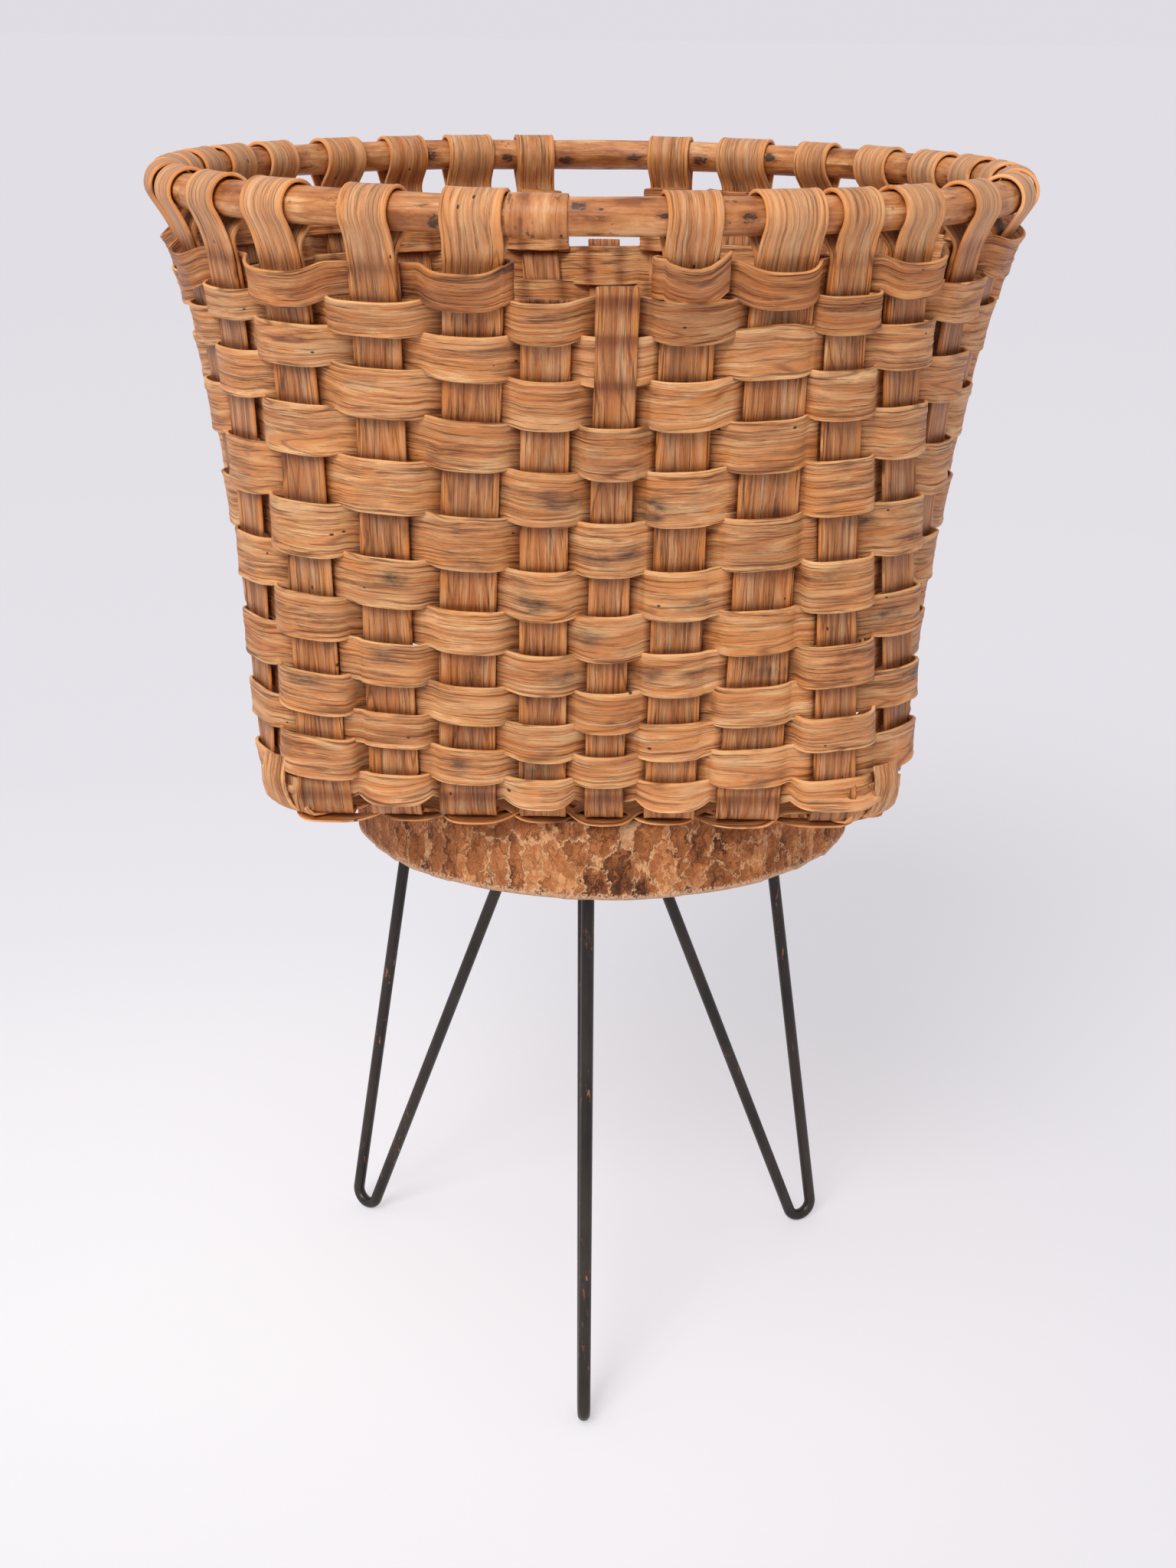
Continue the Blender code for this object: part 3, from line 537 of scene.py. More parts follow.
# %% Stains that show at the front, by place in x and z, with their sizes
STAINS = np.array([
    (-20, 705, 9, 5), (-9, 706, 8, 4), (47, 705, 11, 6), (44, 697, 9, 5), (12, 668, 11, 6), (32, 671, 9, 6),
    (-36, 636, 9, 5), (-30, 632, 8, 5), (4, 611, 10, 6), (44, 583, 10, 6), (77, 583, 12, 5), (-13, 582, 14, 6),
    (-129, 647, 15, 5), (-122, 652, 8, 4), (-129, 595, 13, 6), (-83, 515, 11, 5), (-115, 684, 4, 7),
    (162, 655, 14, 4), (209, 620, 10, 5), (-151, 566, 12, 4), (-190, 572, 14, 4), (-71, 662, 12, 4),
    (130, 585, 13, 4), (74, 635, 12, 4), (186, 687, 11, 4), (-31, 509, 13, 4), (228, 570, 10, 4),
]) * MM


def stains_at(points):
    """How much of a stain lies on each point. Only the front of the basket is marked this way."""
    total = np.zeros(points.shape[:2])
    for x, z, wide, high in STAINS:
        near = ((points[..., 0] - x) / wide) ** 2 + ((points[..., 2] - z) / high) ** 2
        total += np.exp(-near)
    scattered = 0.16 * (np.sin(points[..., 0] * 61.0 + 1.0) * np.sin(points[..., 1] * 53.0)
                        * np.sin(points[..., 2] * 71.0 + 2.0) > 0.55)
    return np.clip(total * (points[..., 1] < 0.0) + scattered, 0.0, 1.0)


# %% Where the edges of the rows run
# The uprights spread at the corners, so there the rows were pushed up while the basket was woven. The two top
# rows hang a little lower at the corners instead, and on the left side lower than on the right.
CORNER_RISE = np.array([0, 4, 12, 10, 9, 9, 8.5, 8, 7.5, 7, 7, 6.5, 2, -3, -6]) * MM
SIDE_TILT = np.array([0, 0, 0, 0, 0, 0, 0, 0, 0, 0, 0, 0, 3, 5.5, 6.5]) * MM
corner = 1.0 - np.exp(-(np.abs(SHARE) / 0.5) ** 2)
EDGE_AT = EDGES[:, None] + CORNER_RISE[:, None] * corner[None, :] + SIDE_TILT[:, None] * np.cos(TURN)[None, :]
print("rows rise at the corners by up to", round(float(CORNER_RISE.max() / MM)), "mm")

# %% How dark single passes are, by row and upright
SHADES = {(1, 2): 0.76, (1, 4): 0.8, (2, 5): 0.46, (2, 6): 0.66, (2, 7): 0.7, (2, 8): 0.78, (2, 3): 0.8,
          (4, 3): 0.86, (5, 2): 0.8, (5, 4): 0.84, (7, 2): 0.84, (9, 4): 0.86, (12, 3): 0.86, (13, 0): 0.84}

# %% How far a row swings out
# Swings, the drop of the lowest row and the lifts of wrapped ends are in millimetres.
STEPS_PER_UPRIGHT, LANES = 20, 16
LEFT_FLATTER = 28
SWING_OUT, SWING_IN, SOFT = 7.2, -6.2, 1.35
SAG, SAG_OF_ROW = 1.5 * MM, {1: 5.5 * MM, 2: 2.6 * MM}
OVER_NEXT, BETWEEN_LOW, BETWEEN_HIGH = 2.5 * MM, 1.6 * MM, 0.7 * MM
FULLNESS = 1.6
LOWEST_DROP = 4.5
SHADOW = 5.0 * MM
FADE_STEPS = 12.0
TURN_COLUMNS, END_COLUMNS = 9, 7
END_BULGE, END_BACK, END_SIDE, END_INSIDE = 5.5 * MM, 2.5 * MM, 5.0 * MM, -4.6 * MM
END_LIFT = 5.0
RIGHT_END_OUT = np.array([6.0, 7.2, 7.8, 7.8, 7.0, 5.2, 2.6]) * MM
RIGHT_END_LIFT = np.array([-1.5, -4.0, -5.5, -5.5, -3.5, 0.5, 6.0])


def swell(row, place):
    """How far a row swings out at an upright, and how suddenly: more where it has to clear a second layer."""
    outside = (row + place) % 2 == 1
    if place == FRONT_E and row in (3, 5):
        return (4.6 * MM, 2.5) if row == 3 else (9.6 * MM, 3.0)
    if not outside and row <= 2 and place not in (FRONT_D, FRONT_E, BACK_E):
        return -8.2 * MM, 3.2
    if row == 1:
        return (8.5 if outside else SWING_IN) * MM, 1.6
    if outside and row == ROWS and AT_CORNER[place]:
        return 4.6 * MM, SOFT
    if outside and row >= 6 and place >= LEFT_FLATTER:
        return max(4.0, SWING_OUT - 0.7 * (row - 5)) * MM, SOFT
    return (SWING_OUT if outside else SWING_IN) * MM, SOFT


print("swings of row 7 at four uprights:", [round(swell(7, place)[0] / MM, 1) for place in range(8, 12)], "mm")

# %% A wrapped end
def wrapped_end(which, low, high, start):
    """Columns of points for a strip's end that goes round one edge of an upright.

    It leaves between the heights low and high, at the start's distance out.
    """
    place, edge, left_over, outside_first = which
    half = 0.5 * WIDTH[place]
    turn = np.linspace(0.0, math.pi, TURN_COLUMNS + 1)[1:]
    x = np.concatenate((edge * (half + END_BULGE * np.sin(turn)),
                        edge * np.linspace(half - END_BACK, -half + left_over, END_COLUMNS)))
    inner = -END_SIDE if outside_first else END_SIDE
    shift = inner + (start - inner) * 0.5 * (1.0 + np.cos(turn))
    if outside_first:
        shift = np.concatenate((shift, np.full(END_COLUMNS, END_INSIDE)))
        lift = np.linspace(0.0, 1.0, len(x)) ** 0.5 * END_LIFT * MM
    else:
        shift = np.concatenate((shift, RIGHT_END_OUT))
        lift = np.concatenate((np.linspace(2.0, 1.0, TURN_COLUMNS), RIGHT_END_LIFT)) * MM
    height = (low + (high - low) * np.linspace(0.0, 1.0, LANES + 1)[None, :]) + lift[:, None]
    middle, along, away = upright_at(np.full(height.shape, place), height)
    return at_height(middle + along * x[:, None, None] + away * shift[:, None, None], height)


print("columns of a wrapped end:", TURN_COLUMNS + END_COLUMNS)

# %% One row
def row_strip(name, row, first, last, head=None, tail=None):
    """The strip of one row, counted from the top, from one station to another, going round.

    A head or a tail is an upright, its edge and the length left over, where the strip's end is wrapped round.
    """
    closed = last - first == PLACES
    foot, top = ROWS - row, ROWS + 1 - row
    shares = flat_shares(0.5 * (EDGES[foot] + EDGES[top]))
    station = np.linspace(first, last, int(round((last - first) * STEPS_PER_UPRIGHT)) + 1)
    here = np.floor(station).astype(int) % PLACES
    t = station - np.floor(station)
    reach = np.array([swell(row, place) for place in range(PLACES)])
    size_draw = 1.0 + draws.uniform(-0.12, 0.18, PLACES)
    low_draw = draws.uniform(-1.2, 1.2, PLACES) * MM
    high_draw = draws.uniform(-1.0, 1.0, PLACES) * MM
    if row == 3:
        high_draw[6] = 6.0 * MM
    ease = t * t * (3.0 - 2.0 * t)

    def blend(values):
        """Values of the uprights, blended on the way between two."""
        return values[here] * (1.0 - ease) + values[(here + 1) % PLACES] * ease

    wave = np.cos(math.pi * t)
    side = np.sign(reach[here, 0])
    sharp = blend(reach[:, 1])
    out = side * blend(np.abs(reach[:, 0]) * size_draw) * np.tanh(sharp * wave) / np.tanh(sharp)
    full = np.tanh(FULLNESS * np.abs(wave)) / np.tanh(FULLNESS)
    sag = np.where(side * wave > 0.0, 1.0, -0.3) * full * SAG_OF_ROW.get(row, SAG)
    z_low = blend(EDGE_AT[foot]) - BETWEEN_LOW - full * (OVER_NEXT - BETWEEN_LOW) + blend(low_draw) - sag
    z_high = (blend(EDGE_AT[top]) + (BETWEEN_HIGH - full * (ROW_GAP + BETWEEN_HIGH))
              + full * (0.8 * OVER_NEXT if row > 1 else 0.0) + blend(high_draw) - sag)
    if row == ROWS:
        from_corner = (station + 4.5) % 8.0 - 4.0
        out = out - LOWEST_DROP * MM * np.exp(-(from_corner / 0.45) ** 2)
        z_low -= full * LOWEST_DROP * MM
    across = np.linspace(-1.0, 1.0, LANES + 1)
    lane = across[None, :]
    height = z_low[:, None] + (z_high - z_low)[:, None] * (0.5 + 0.5 * lane)
    past_edge = np.minimum(np.abs(t - shares[0][here]), np.abs(1.0 - t - shares[1][here])) * shares[2][here]
    # Each pass is as dark as its shade by row and upright says. Where the row runs inside an upright, it is darkened
    # next to the upright's edges as painted shade, where it slips behind the upright.
    shade = np.array([SHADES.get((row, place), 1.0 - abs(draws.normal(0.0, 0.07))) for place in range(PLACES)])
    paleness = blend(shade) * np.where(out > 0.0, 1.0, 1.0 - 0.75 * np.exp(-(past_edge / SHADOW) ** 2))
    curl = 0.9 * MM * np.sign(out)[:, None] * full[:, None] * np.abs(lane) ** 3
    if row <= 2:
        curl = curl + (3.0 - row) * 1.1 * MM * full[:, None] * np.clip(lane, 0.0, 1.0) ** 2
    points = wall_at(np.broadcast_to(station[:, None], height.shape), height, out[:, None] + curl, shares)
    columns = TURN_COLUMNS + END_COLUMNS
    if head:
        points = np.concatenate((wrapped_end(head, z_low[0], z_high[0], out[0])[::-1], points))
        paleness = np.concatenate((np.full(columns, 0.8), paleness))
    if tail:
        points = np.concatenate((points, wrapped_end(tail, z_low[-1], z_high[-1], out[-1])))
        paleness = np.concatenate((paleness, np.full(columns, 0.6)))
    middle_line = points[:, LANES // 2]
    along = length_along(middle_line)
    normal = unit(np.cross(np.gradient(middle_line, axis=0), np.array([0.0, 0.0, 1.0])))
    rough = ridges(across, along, 9, 0.5 * MM, 100 + row)
    if closed:
        steps = np.arange(len(along))
        rough = rough * np.clip(np.minimum(steps, steps[::-1]) / FADE_STEPS, 0.0, 1.0)[:, None]
    points = points + normal[:, None, :] * rough[..., None]
    width = 0.5 * float(EDGES[top] - EDGES[foot])
    made = strip(name, points, along, across * width, WEAVER_THICKNESS, dark_wood if row == 1 else weaver_wood,
                 "basket", stains_at(points), paleness, closed)
    return made


# %% Weave the rows
for row in range(3, ROWS + 1):
    made = row_strip("weave_row_%d" % row, row, BACK_CORNER, BACK_CORNER + PLACES)
    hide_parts("row_%d" % row)
made = row_strip("weave_row_2", 2, BACK_D - 0.45, BACK_F + PLACES + 0.45)
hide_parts("row_2")
print("closed rows:", ROWS - 2)

# %% [markdown]
# ## The top row
# The top row is in two strips, one on each side of the hand-holds. At the front, the left one goes round the edge of
# its last upright to the inside. The right one comes from the inside, and its end lies outside on its first upright.

# %% Two strips with wrapped ends
half_way = 0.5 * WIDTH / flat_shares(float(EDGES[-1]))[2]
made = row_strip("weave_row_1_left", 1, BACK_D + 1e-6, FRONT_C + PLACES + float(half_way[FRONT_C]),
                 head=(BACK_D, -1.0, 3.0 * MM, True), tail=(FRONT_C, 1.0, 4.0 * MM, True))
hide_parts("row_1_left")
made = row_strip("weave_row_1_right", 1, FRONT_F - float(half_way[FRONT_F]) + 1e-6, BACK_F + float(half_way[BACK_F]),
                 head=(FRONT_F, -1.0, -7.0 * MM, False), tail=(BACK_F, 1.0, 3.0 * MM, True))
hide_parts("row_1_right")
print("the top row's last strip:", made.name)

# %% [markdown]
# ## The uprights
# Each of the 16 splints runs up one wall, across the base and up the other wall. At the top it goes over the pole,
# outside first, and its end comes down inside behind the rows. The path is a line of points with a direction across
# the splint at each. A smooth curve is drawn through them and cut into even steps.

# %% The path of an upright
WALL_STEP = 14.0 * MM
LOOP_GAP = 0.5 * MM
LOOP_TURNS = np.radians(np.arange(-40.0, 216.0, 16.0))


def upright_path(place):
    """Points and cross directions of one upright end, from the base upwards."""
    points, crosswise = [], []

    def add(point, across):
        """One more point, with its cross direction."""
        points.append(point)
        crosswise.append(across)

    def add_wall(height, out=0.0):
        """One more point on the wall, or out from it."""
        middle, along, away = upright_at(place, np.asarray(height, float))
        add(at_height(middle + away * out, height), (*along, 0.0))

    for turn in np.linspace(0.0, BEND_ANGLE, 7)[:-1]:
        reach = BASE_HALF_WIDTH + BEND_RADIUS * (math.sin(turn) - math.sin(BEND_ANGLE))
        spot = FACE_OUTWARD[place] * reach + FACE_TANGENT[place] * SHARE[place] * BASE_HALF_WIDTH
        add(at_height(spot, BASE_LAYER + BEND_RADIUS * (1.0 - math.cos(turn))), (*FACE_TANGENT[place], 0.0))
    row_2, row_3, foot_3, row_5 = EDGES[ROWS - 1], EDGES[ROWS - 2], EDGES[ROWS - 3], EDGES[ROWS - 4]
    top = {FRONT_D: row_2 - 1.0 * MM, FRONT_E: row_2 + 4.0 * MM,
           BACK_E: row_3 + 6.5 * MM}.get(place, EDGES[-1] - 6.0 * MM)
    for height in np.linspace(BEND_TOP, top, int((top - BEND_TOP) / WALL_STEP)):
        add_wall(height)
    if place == FRONT_E:
        for turn in np.linspace(0.8, math.pi - 0.3, 4):
            add_wall(top + 3.6 * MM * math.sin(turn), 3.7 * MM * (1.0 - math.cos(turn)))
        for height, out in ((row_2 - 6.0 * MM, 7.7), (row_3, 7.9), (foot_3 + 8.0 * MM, 7.8), (foot_3 - 8.0 * MM, 4.2),
                            (row_5 + 2.0 * MM, 3.0), (row_5 - 12.0 * MM, 2.95), (row_5 - 26.0 * MM, 2.95)):
            add_wall(height, out * MM)
    elif place not in (FRONT_D, BACK_E):
        away = np.array([math.cos(TURN[place]), math.sin(TURN[place]), 0.0])
        bow = WIDTH[place] ** 2 / (8.0 * (RIM_RADIUS - POLE_RADIUS))
        around = POLE_RADIUS + LOOP_GAP + bow + 0.5 * SPLINT_THICKNESS
        for turn in LOOP_TURNS:
            reach = RIM_RADIUS + around * math.cos(turn)
            add(away * reach + np.array([0.0, 0.0, RIM_HEIGHT + around * math.sin(turn) + SEAT_TOP]),
                (-away[1], away[0], 0.0))
        for height in (EDGES[-1] - 1.0 * MM, 0.5 * (EDGES[-1] + row_2), row_2, 0.5 * (row_2 + row_3), row_3):
            add_wall(height, -SPLINT_ON_SPLINT)
    return np.array(points), np.array(crosswise)


print("points on the first upright's path:", len(upright_path(0)[0]))

# %% A smooth curve in even steps
def even_steps(points, crosswise, step):
    """A smooth curve through the points, in even steps, with the cross directions turned along with it."""
    knots = length_along(points, 0.01 * MM)
    slope = np.gradient(points, knots, axis=0)
    at = np.linspace(0.0, knots[-1], max(8, int(knots[-1] / step)) + 1)
    index = np.clip(np.searchsorted(knots, at, side="right") - 1, 0, len(knots) - 2)
    span = (knots[index + 1] - knots[index])[:, None]
    u = ((at - knots[index])[:, None]) / span
    line = hermite(u, points[index], points[index + 1], span, slope[index], slope[index + 1])
    return line, unit(crosswise[index] * (1.0 - u) + crosswise[index + 1] * u), at


# %% One splint from end to end
SPLINT_LANES, SPLINT_STEP = 12, 3.2 * MM
LOOP_SHADES = {FRONT_C: 0.97, FRONT_F: 0.86, 1: 0.93, 7: 0.90, BACK_F: 0.84, BACK_D: 0.82, 22: 0.78, 16: 0.90}
WALL_SHADE = 0.74
# How far the painted shade under and over each crossing row reaches into an upright, and how fast it fades.
DARK_BELOW, FADE_BELOW, DARK_ABOVE, FADE_ABOVE = 3.6 * MM, 4.0 * MM, 1.0 * MM, 2.2 * MM


def crevice(place, height):
    """How much painted shade an upright gets just under and over the rows that cross it, from 0 to 1."""
    total = np.zeros(len(height))
    for level in EDGE_AT[:, place]:
        below, over = (height - level + DARK_BELOW) / FADE_BELOW, (height - level - DARK_ABOVE) / FADE_ABOVE
        total = np.maximum(total, np.exp(np.minimum(below, 0.0)) * np.exp(-np.maximum(over, 0.0)))
    return total


def splint_strip(name, near, middle, far, width, seed, places):
    """A splint from one end, turned round, over the base to the other, with raised edges and a few long ridges.

    Each part has its points and cross directions. The two places are at the splint's ends.
    """
    line, across_dir, along = even_steps(np.concatenate((near[0][::-1], middle[0], far[0])),
                                         np.concatenate((-near[1][::-1], middle[1], far[1])), SPLINT_STEP)
    outward = unit(np.cross(across_dir, unit(np.gradient(line, along, axis=0))))
    across = np.linspace(-1.0, 1.0, SPLINT_LANES + 1)
    local = np.random.default_rng(seed)
    wander = 0.012 * np.sin(along * local.uniform(9.0, 20.0) + local.uniform(0.0, 6.0))
    wide = 0.5 * width * (1.0 + wander)
    rim = 0.45 * MM * np.exp(-((1.0 - np.abs(across)) / 0.14) ** 2)
    lift = rim[None, :] + ridges(across, along, 5, 0.3 * MM, seed + 50)
    points = (line[:, None, :] - across_dir[:, None, :] * wide[:, None, None] * across[None, :, None]
              + outward[:, None, :] * lift[..., None])
    height = line[:, 2] - SEAT_TOP
    half = np.arange(len(line)) < len(line) // 2
    # Painted shade on the upright just under and over each row that crosses it.
    painted_row_shade = np.where(half, crevice(places[0], height), crevice(places[1], height))
    # The upright is darker on the wall than on the loops over the rim. The loops' paleness is partly bleaching and
    # partly painted light from above.
    loop = np.clip((height - EDGES[-1]) / (22.0 * MM) + 0.7, 0.0, 1.0)
    shade = np.where(half, LOOP_SHADES.get(places[0], 0.94), LOOP_SHADES.get(places[1], 0.97))
    pale = WALL_SHADE * (1.0 - 0.8 * painted_row_shade) * (1.0 - loop) + loop * shade
    return strip(name, points, along, across * 0.5 * width, SPLINT_THICKNESS, upright_wood, "basket",
                 stains_at(points), pale)


# %% Splints from front to back
for index, letter in enumerate("abcdefgh"):
    flat = [(SHARE[index] * BASE_HALF_WIDTH, y * MM, BASE_LAYER + SEAT_TOP) for y in np.linspace(190.0, -190.0, 9)]
    made = splint_strip("splint_%s_front_to_back" % letter, upright_path(23 - index),
                        (flat, [(1.0, 0.0, 0.0)] * len(flat)), upright_path(index), WIDTH[index], 200 + index,
                        (23 - index, index))
    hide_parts("splint_lengthwise_" + letter)

# %% Cross splints, which weave under and over the others in the base
for index in range(8):
    right, left = 8 + index, 31 - index
    flat = []
    for column in range(8):
        height = BASE_LAYER + (SPLINT_ON_SPLINT if (index + column) % 2 else -2.4 * MM) + SEAT_TOP
        for edge in (-0.5, 0.0, 0.5):
            x = SHARE[column] * BASE_HALF_WIDTH + edge * (WIDTH[column] + 1.0 * MM)
            flat.append((x, SHARE[right] * BASE_HALF_WIDTH, height))
    near, far = [[part[1:] for part in upright_path(place)] for place in (left, right)]
    made = splint_strip("splint_%d_left_to_right" % (index + 1), near, (flat, [(0.0, 1.0, 0.0)] * len(flat)), far,
                        WIDTH[right], 300 + index, (left, right))
    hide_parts("splint_cross_%d" % (index + 1))
print("splints:", 16)

# %% [markdown]
# ### The two strips under the basket's edge
# Two more strips lie flat under the edge of the base. Where one goes under an upright the other goes over it, and
# their outer edges show from the front as a row of thin arcs.

# %% Two flat strips round the base
BASE_FOOT = float(BEND_TOP)
EDGE_STEPS, EDGE_LANES = 14, 7


def edge_strip(name, phase, further_in):
    """A flat strip round the base, under every second upright."""
    station = np.linspace(BACK_CORNER, BACK_CORNER + PLACES, PLACES * EDGE_STEPS + 1)
    low = np.tanh(1.5 * np.cos(math.pi * (station - phase))) / np.tanh(1.5)
    lane = np.linspace(0.0, 1.0, EDGE_LANES)
    inset = (30.0 - 5.0 * low + further_in)[:, None] - (15.0 + 2.0 * low)[:, None] * lane[None, :]
    height = (5.0 - 3.4 * low)[:, None] * MM - 0.5 * MM * (low > 0.0)[:, None] * lane[None, :] ** 2
    points = wall_at(np.broadcast_to(station[:, None], inset.shape), np.full(inset.shape, BASE_FOOT),
                     np.zeros(inset.shape), flat_shares(BASE_FOOT))
    points[..., :2] *= 1.0 - inset[..., None] * MM / BASE_HALF_WIDTH
    points[..., 2] = SEAT_TOP + height
    made = strip(name, points, length_along(points[:, 3]), np.linspace(-1.0, 1.0, EDGE_LANES) * 7.0 * MM,
                 1.5 * MM, dark_wood, "basket", closed=True)


edge_strip("base_edge_strip_1", 0.0, 0.0)
edge_strip("base_edge_strip_2", 1.0, 5.0)
print("strips under the edge:", 2)

# %% [markdown]
# ### The tucks at the lower corners
# A short strip covers each lower corner. It comes from under the base, goes up outside the lowest row, and its end is
# tucked in behind the next row. A wider one lies behind it and closes the corner.

# %% Four short strips and what lies behind them
TUCK = np.array([(-19.5, -30.0), (-20.0, -20.0), (-19.0, -13.0), (-14.0, -7.4), (-7.0, -3.8), (0.0, -1.6),
                 (5.0, -0.6), (9.5, -0.7), (14.0, -1.4), (18.0, -2.5), (22.0, -3.0)]) * MM
BACKING = np.array([(-21.0, -34.0), (-21.2, -25.0), (-20.0, -17.0), (-15.0, -12.0), (-8.0, -9.6), (0.0, -8.6),
                    (8.0, -8.0)]) * MM
TUCK_STEPS = 34


def corner_tuck(name, station, half, path, wood):
    """A short strip round a lower corner of the base. The path is in pairs: height over the foot, and out."""
    even = np.linspace(0.0, 1.0, TUCK_STEPS) * (len(path) - 1)
    heights = np.interp(even, np.arange(len(path)), path[:, 0] + BASE_FOOT)
    outs = np.interp(even, np.arange(len(path)), path[:, 1])
    lane = np.linspace(-1.0, 1.0, 9)
    spot = wall_at(np.full(TUCK_STEPS, station), np.full(TUCK_STEPS, BASE_FOOT), np.zeros(TUCK_STEPS),
                   flat_shares(BASE_FOOT))
    away = np.array([np.sign(spot[0, 0]), np.sign(spot[0, 1]), 0.0]) / math.sqrt(2.0)
    aside = np.array([-away[1], away[0], 0.0])
    points = (spot[:, None, :] + away * outs[:, None, None] + aside * half * lane[None, :, None]
              - away * 1.2 * MM * lane[None, :, None] ** 2)
    points[..., 2] = SEAT_TOP + heights[:, None]
    made = strip(name, points, length_along(points[:, 4]), lane * half, 2.0 * MM, wood, "basket")


for index, station in enumerate((7.5, 15.5, 23.5, 31.5)):
    corner_tuck("corner_tuck_%d" % (index + 1), station, 12.0 * MM, TUCK, weaver_wood)
    corner_tuck("corner_backing_%d" % (index + 1), station, 24.0 * MM, BACKING, upright_wood)
print("short strips at the corners:", 2 * (index + 1))

# %% [markdown]
# ## The rim pole
# The rim is a peeled pole, steamed and bent to a hoop. Bark flecks, knots and fine wavy grain show on it. A circle
# is spun all the way round the basket's axis, and then knots and a slight unevenness are pressed into it.

# %% Material of the pole
def pole_material():
    """Golden brown peeled wood with wavy grain, dark flecks and knots."""
    made, tree, shader = new_material("peeled pole")
    uv, stain, fibre, flaw = wood_effects(tree)
    colour = ramp(tree, weighted(tree, (fibre["Bands"], 0.35), (fibre["Blotches"], 0.65)), [
        (0.12, (0.28, 0.085, 0.022)), (0.40, (0.54, 0.205, 0.062)), (0.64, (0.68, 0.300, 0.110)),
        (0.92, (0.90, 0.52, 0.25))])
    # Low rings and dark fibres lie in the grooves of the bump, so their darker tint is partly painted shade.
    colour = tinted(tree, colour, (between(tree, fibre["Rings"], 0.22, 0.02), 0.45, (0.30, 0.10, 0.028)),
                    (fibre["Dark"], 0.35, (0.30, 0.11, 0.03)))
    handled = between(tree, noise(tree, uv, (6.5, 16.0, 1.0), 3.0, 0.6), 0.36, 0.60)
    colour = mix_colours(tree, product(tree, handled, 0.45), colour, (0.62, 0.50, 0.42, 1.0), "MULTIPLY")
    flecks = noise(tree, uv, (48.0, 110.0, 1.0), 4.0, 0.72)
    torn = noise(tree, uv, (190.0, 420.0, 1.0), 3.0, 0.7)
    ragged = weighted(tree, (flecks, 0.5), (torn, 0.9), (stain, 0.75))
    colour = tinted(
        tree, colour,
        (between(tree, flecks, 0.60, 0.66), 0.8, (0.11, 0.040, 0.014)),
        (flaw["Knots"], 0.5, (0.14, 0.05, 0.018)), (flaw["Holes"], 0.9, (0.02, 0.01, 0.006)),
        (between(tree, ragged, 0.90, 1.15), 0.6, (0.30, 0.10, 0.03)),
        (between(tree, ragged, 1.26, 1.40), 0.92, (0.045, 0.020, 0.010)))
    height = weighted(tree, (fibre["Height"], 0.4), (between(tree, flecks, 0.55, 0.7), -0.5))
    dress(tree, shader, {"Base Color": colour, "Roughness": 0.42, "Specular IOR Level": 0.4}, height, 0.5 * MM)
    return made


pole_wood = pole_material()
print("pole's finish:", pole_wood.name)

# %% Turns and knots
FULL_TURN = 2.0 * math.pi
POLE_KNOTS = [
    # direction round the rim, direction round the pole, height of the bump, its length
    (253.2, -20.0, 0.7, 9.0), (258.9, -10.0, 0.6, 8.0), (262.3, 25.0, 0.5, 6.0), (269.2, 35.0, 0.9, 7.0),
    (279.0, 10.0, 0.4, 6.0), (288.5, 0.0, 0.6, 7.0), (95.0, 200.0, 0.8, 9.0), (105.0, 190.0, 0.7, 8.0),
    (84.0, 185.0, 0.7, 8.0), (73.0, 190.0, 0.8, 9.0), (61.0, 170.0, 0.6, 8.0), (118.0, 180.0, 0.7, 8.0),
]


def near_turn(angle, goal):
    """An angle, with as many whole turns as bring it nearest to the goal."""
    return angle + FULL_TURN * round((goal - angle) / FULL_TURN)


def half_turn(angle):
    """An angle as at most half a turn to either side."""
    return (angle + math.pi) % FULL_TURN - math.pi


print("knots on the pole:", len(POLE_KNOTS))

# %% Spin the pole
POLE_CORNERS, POLE_TURNS = 28, 300


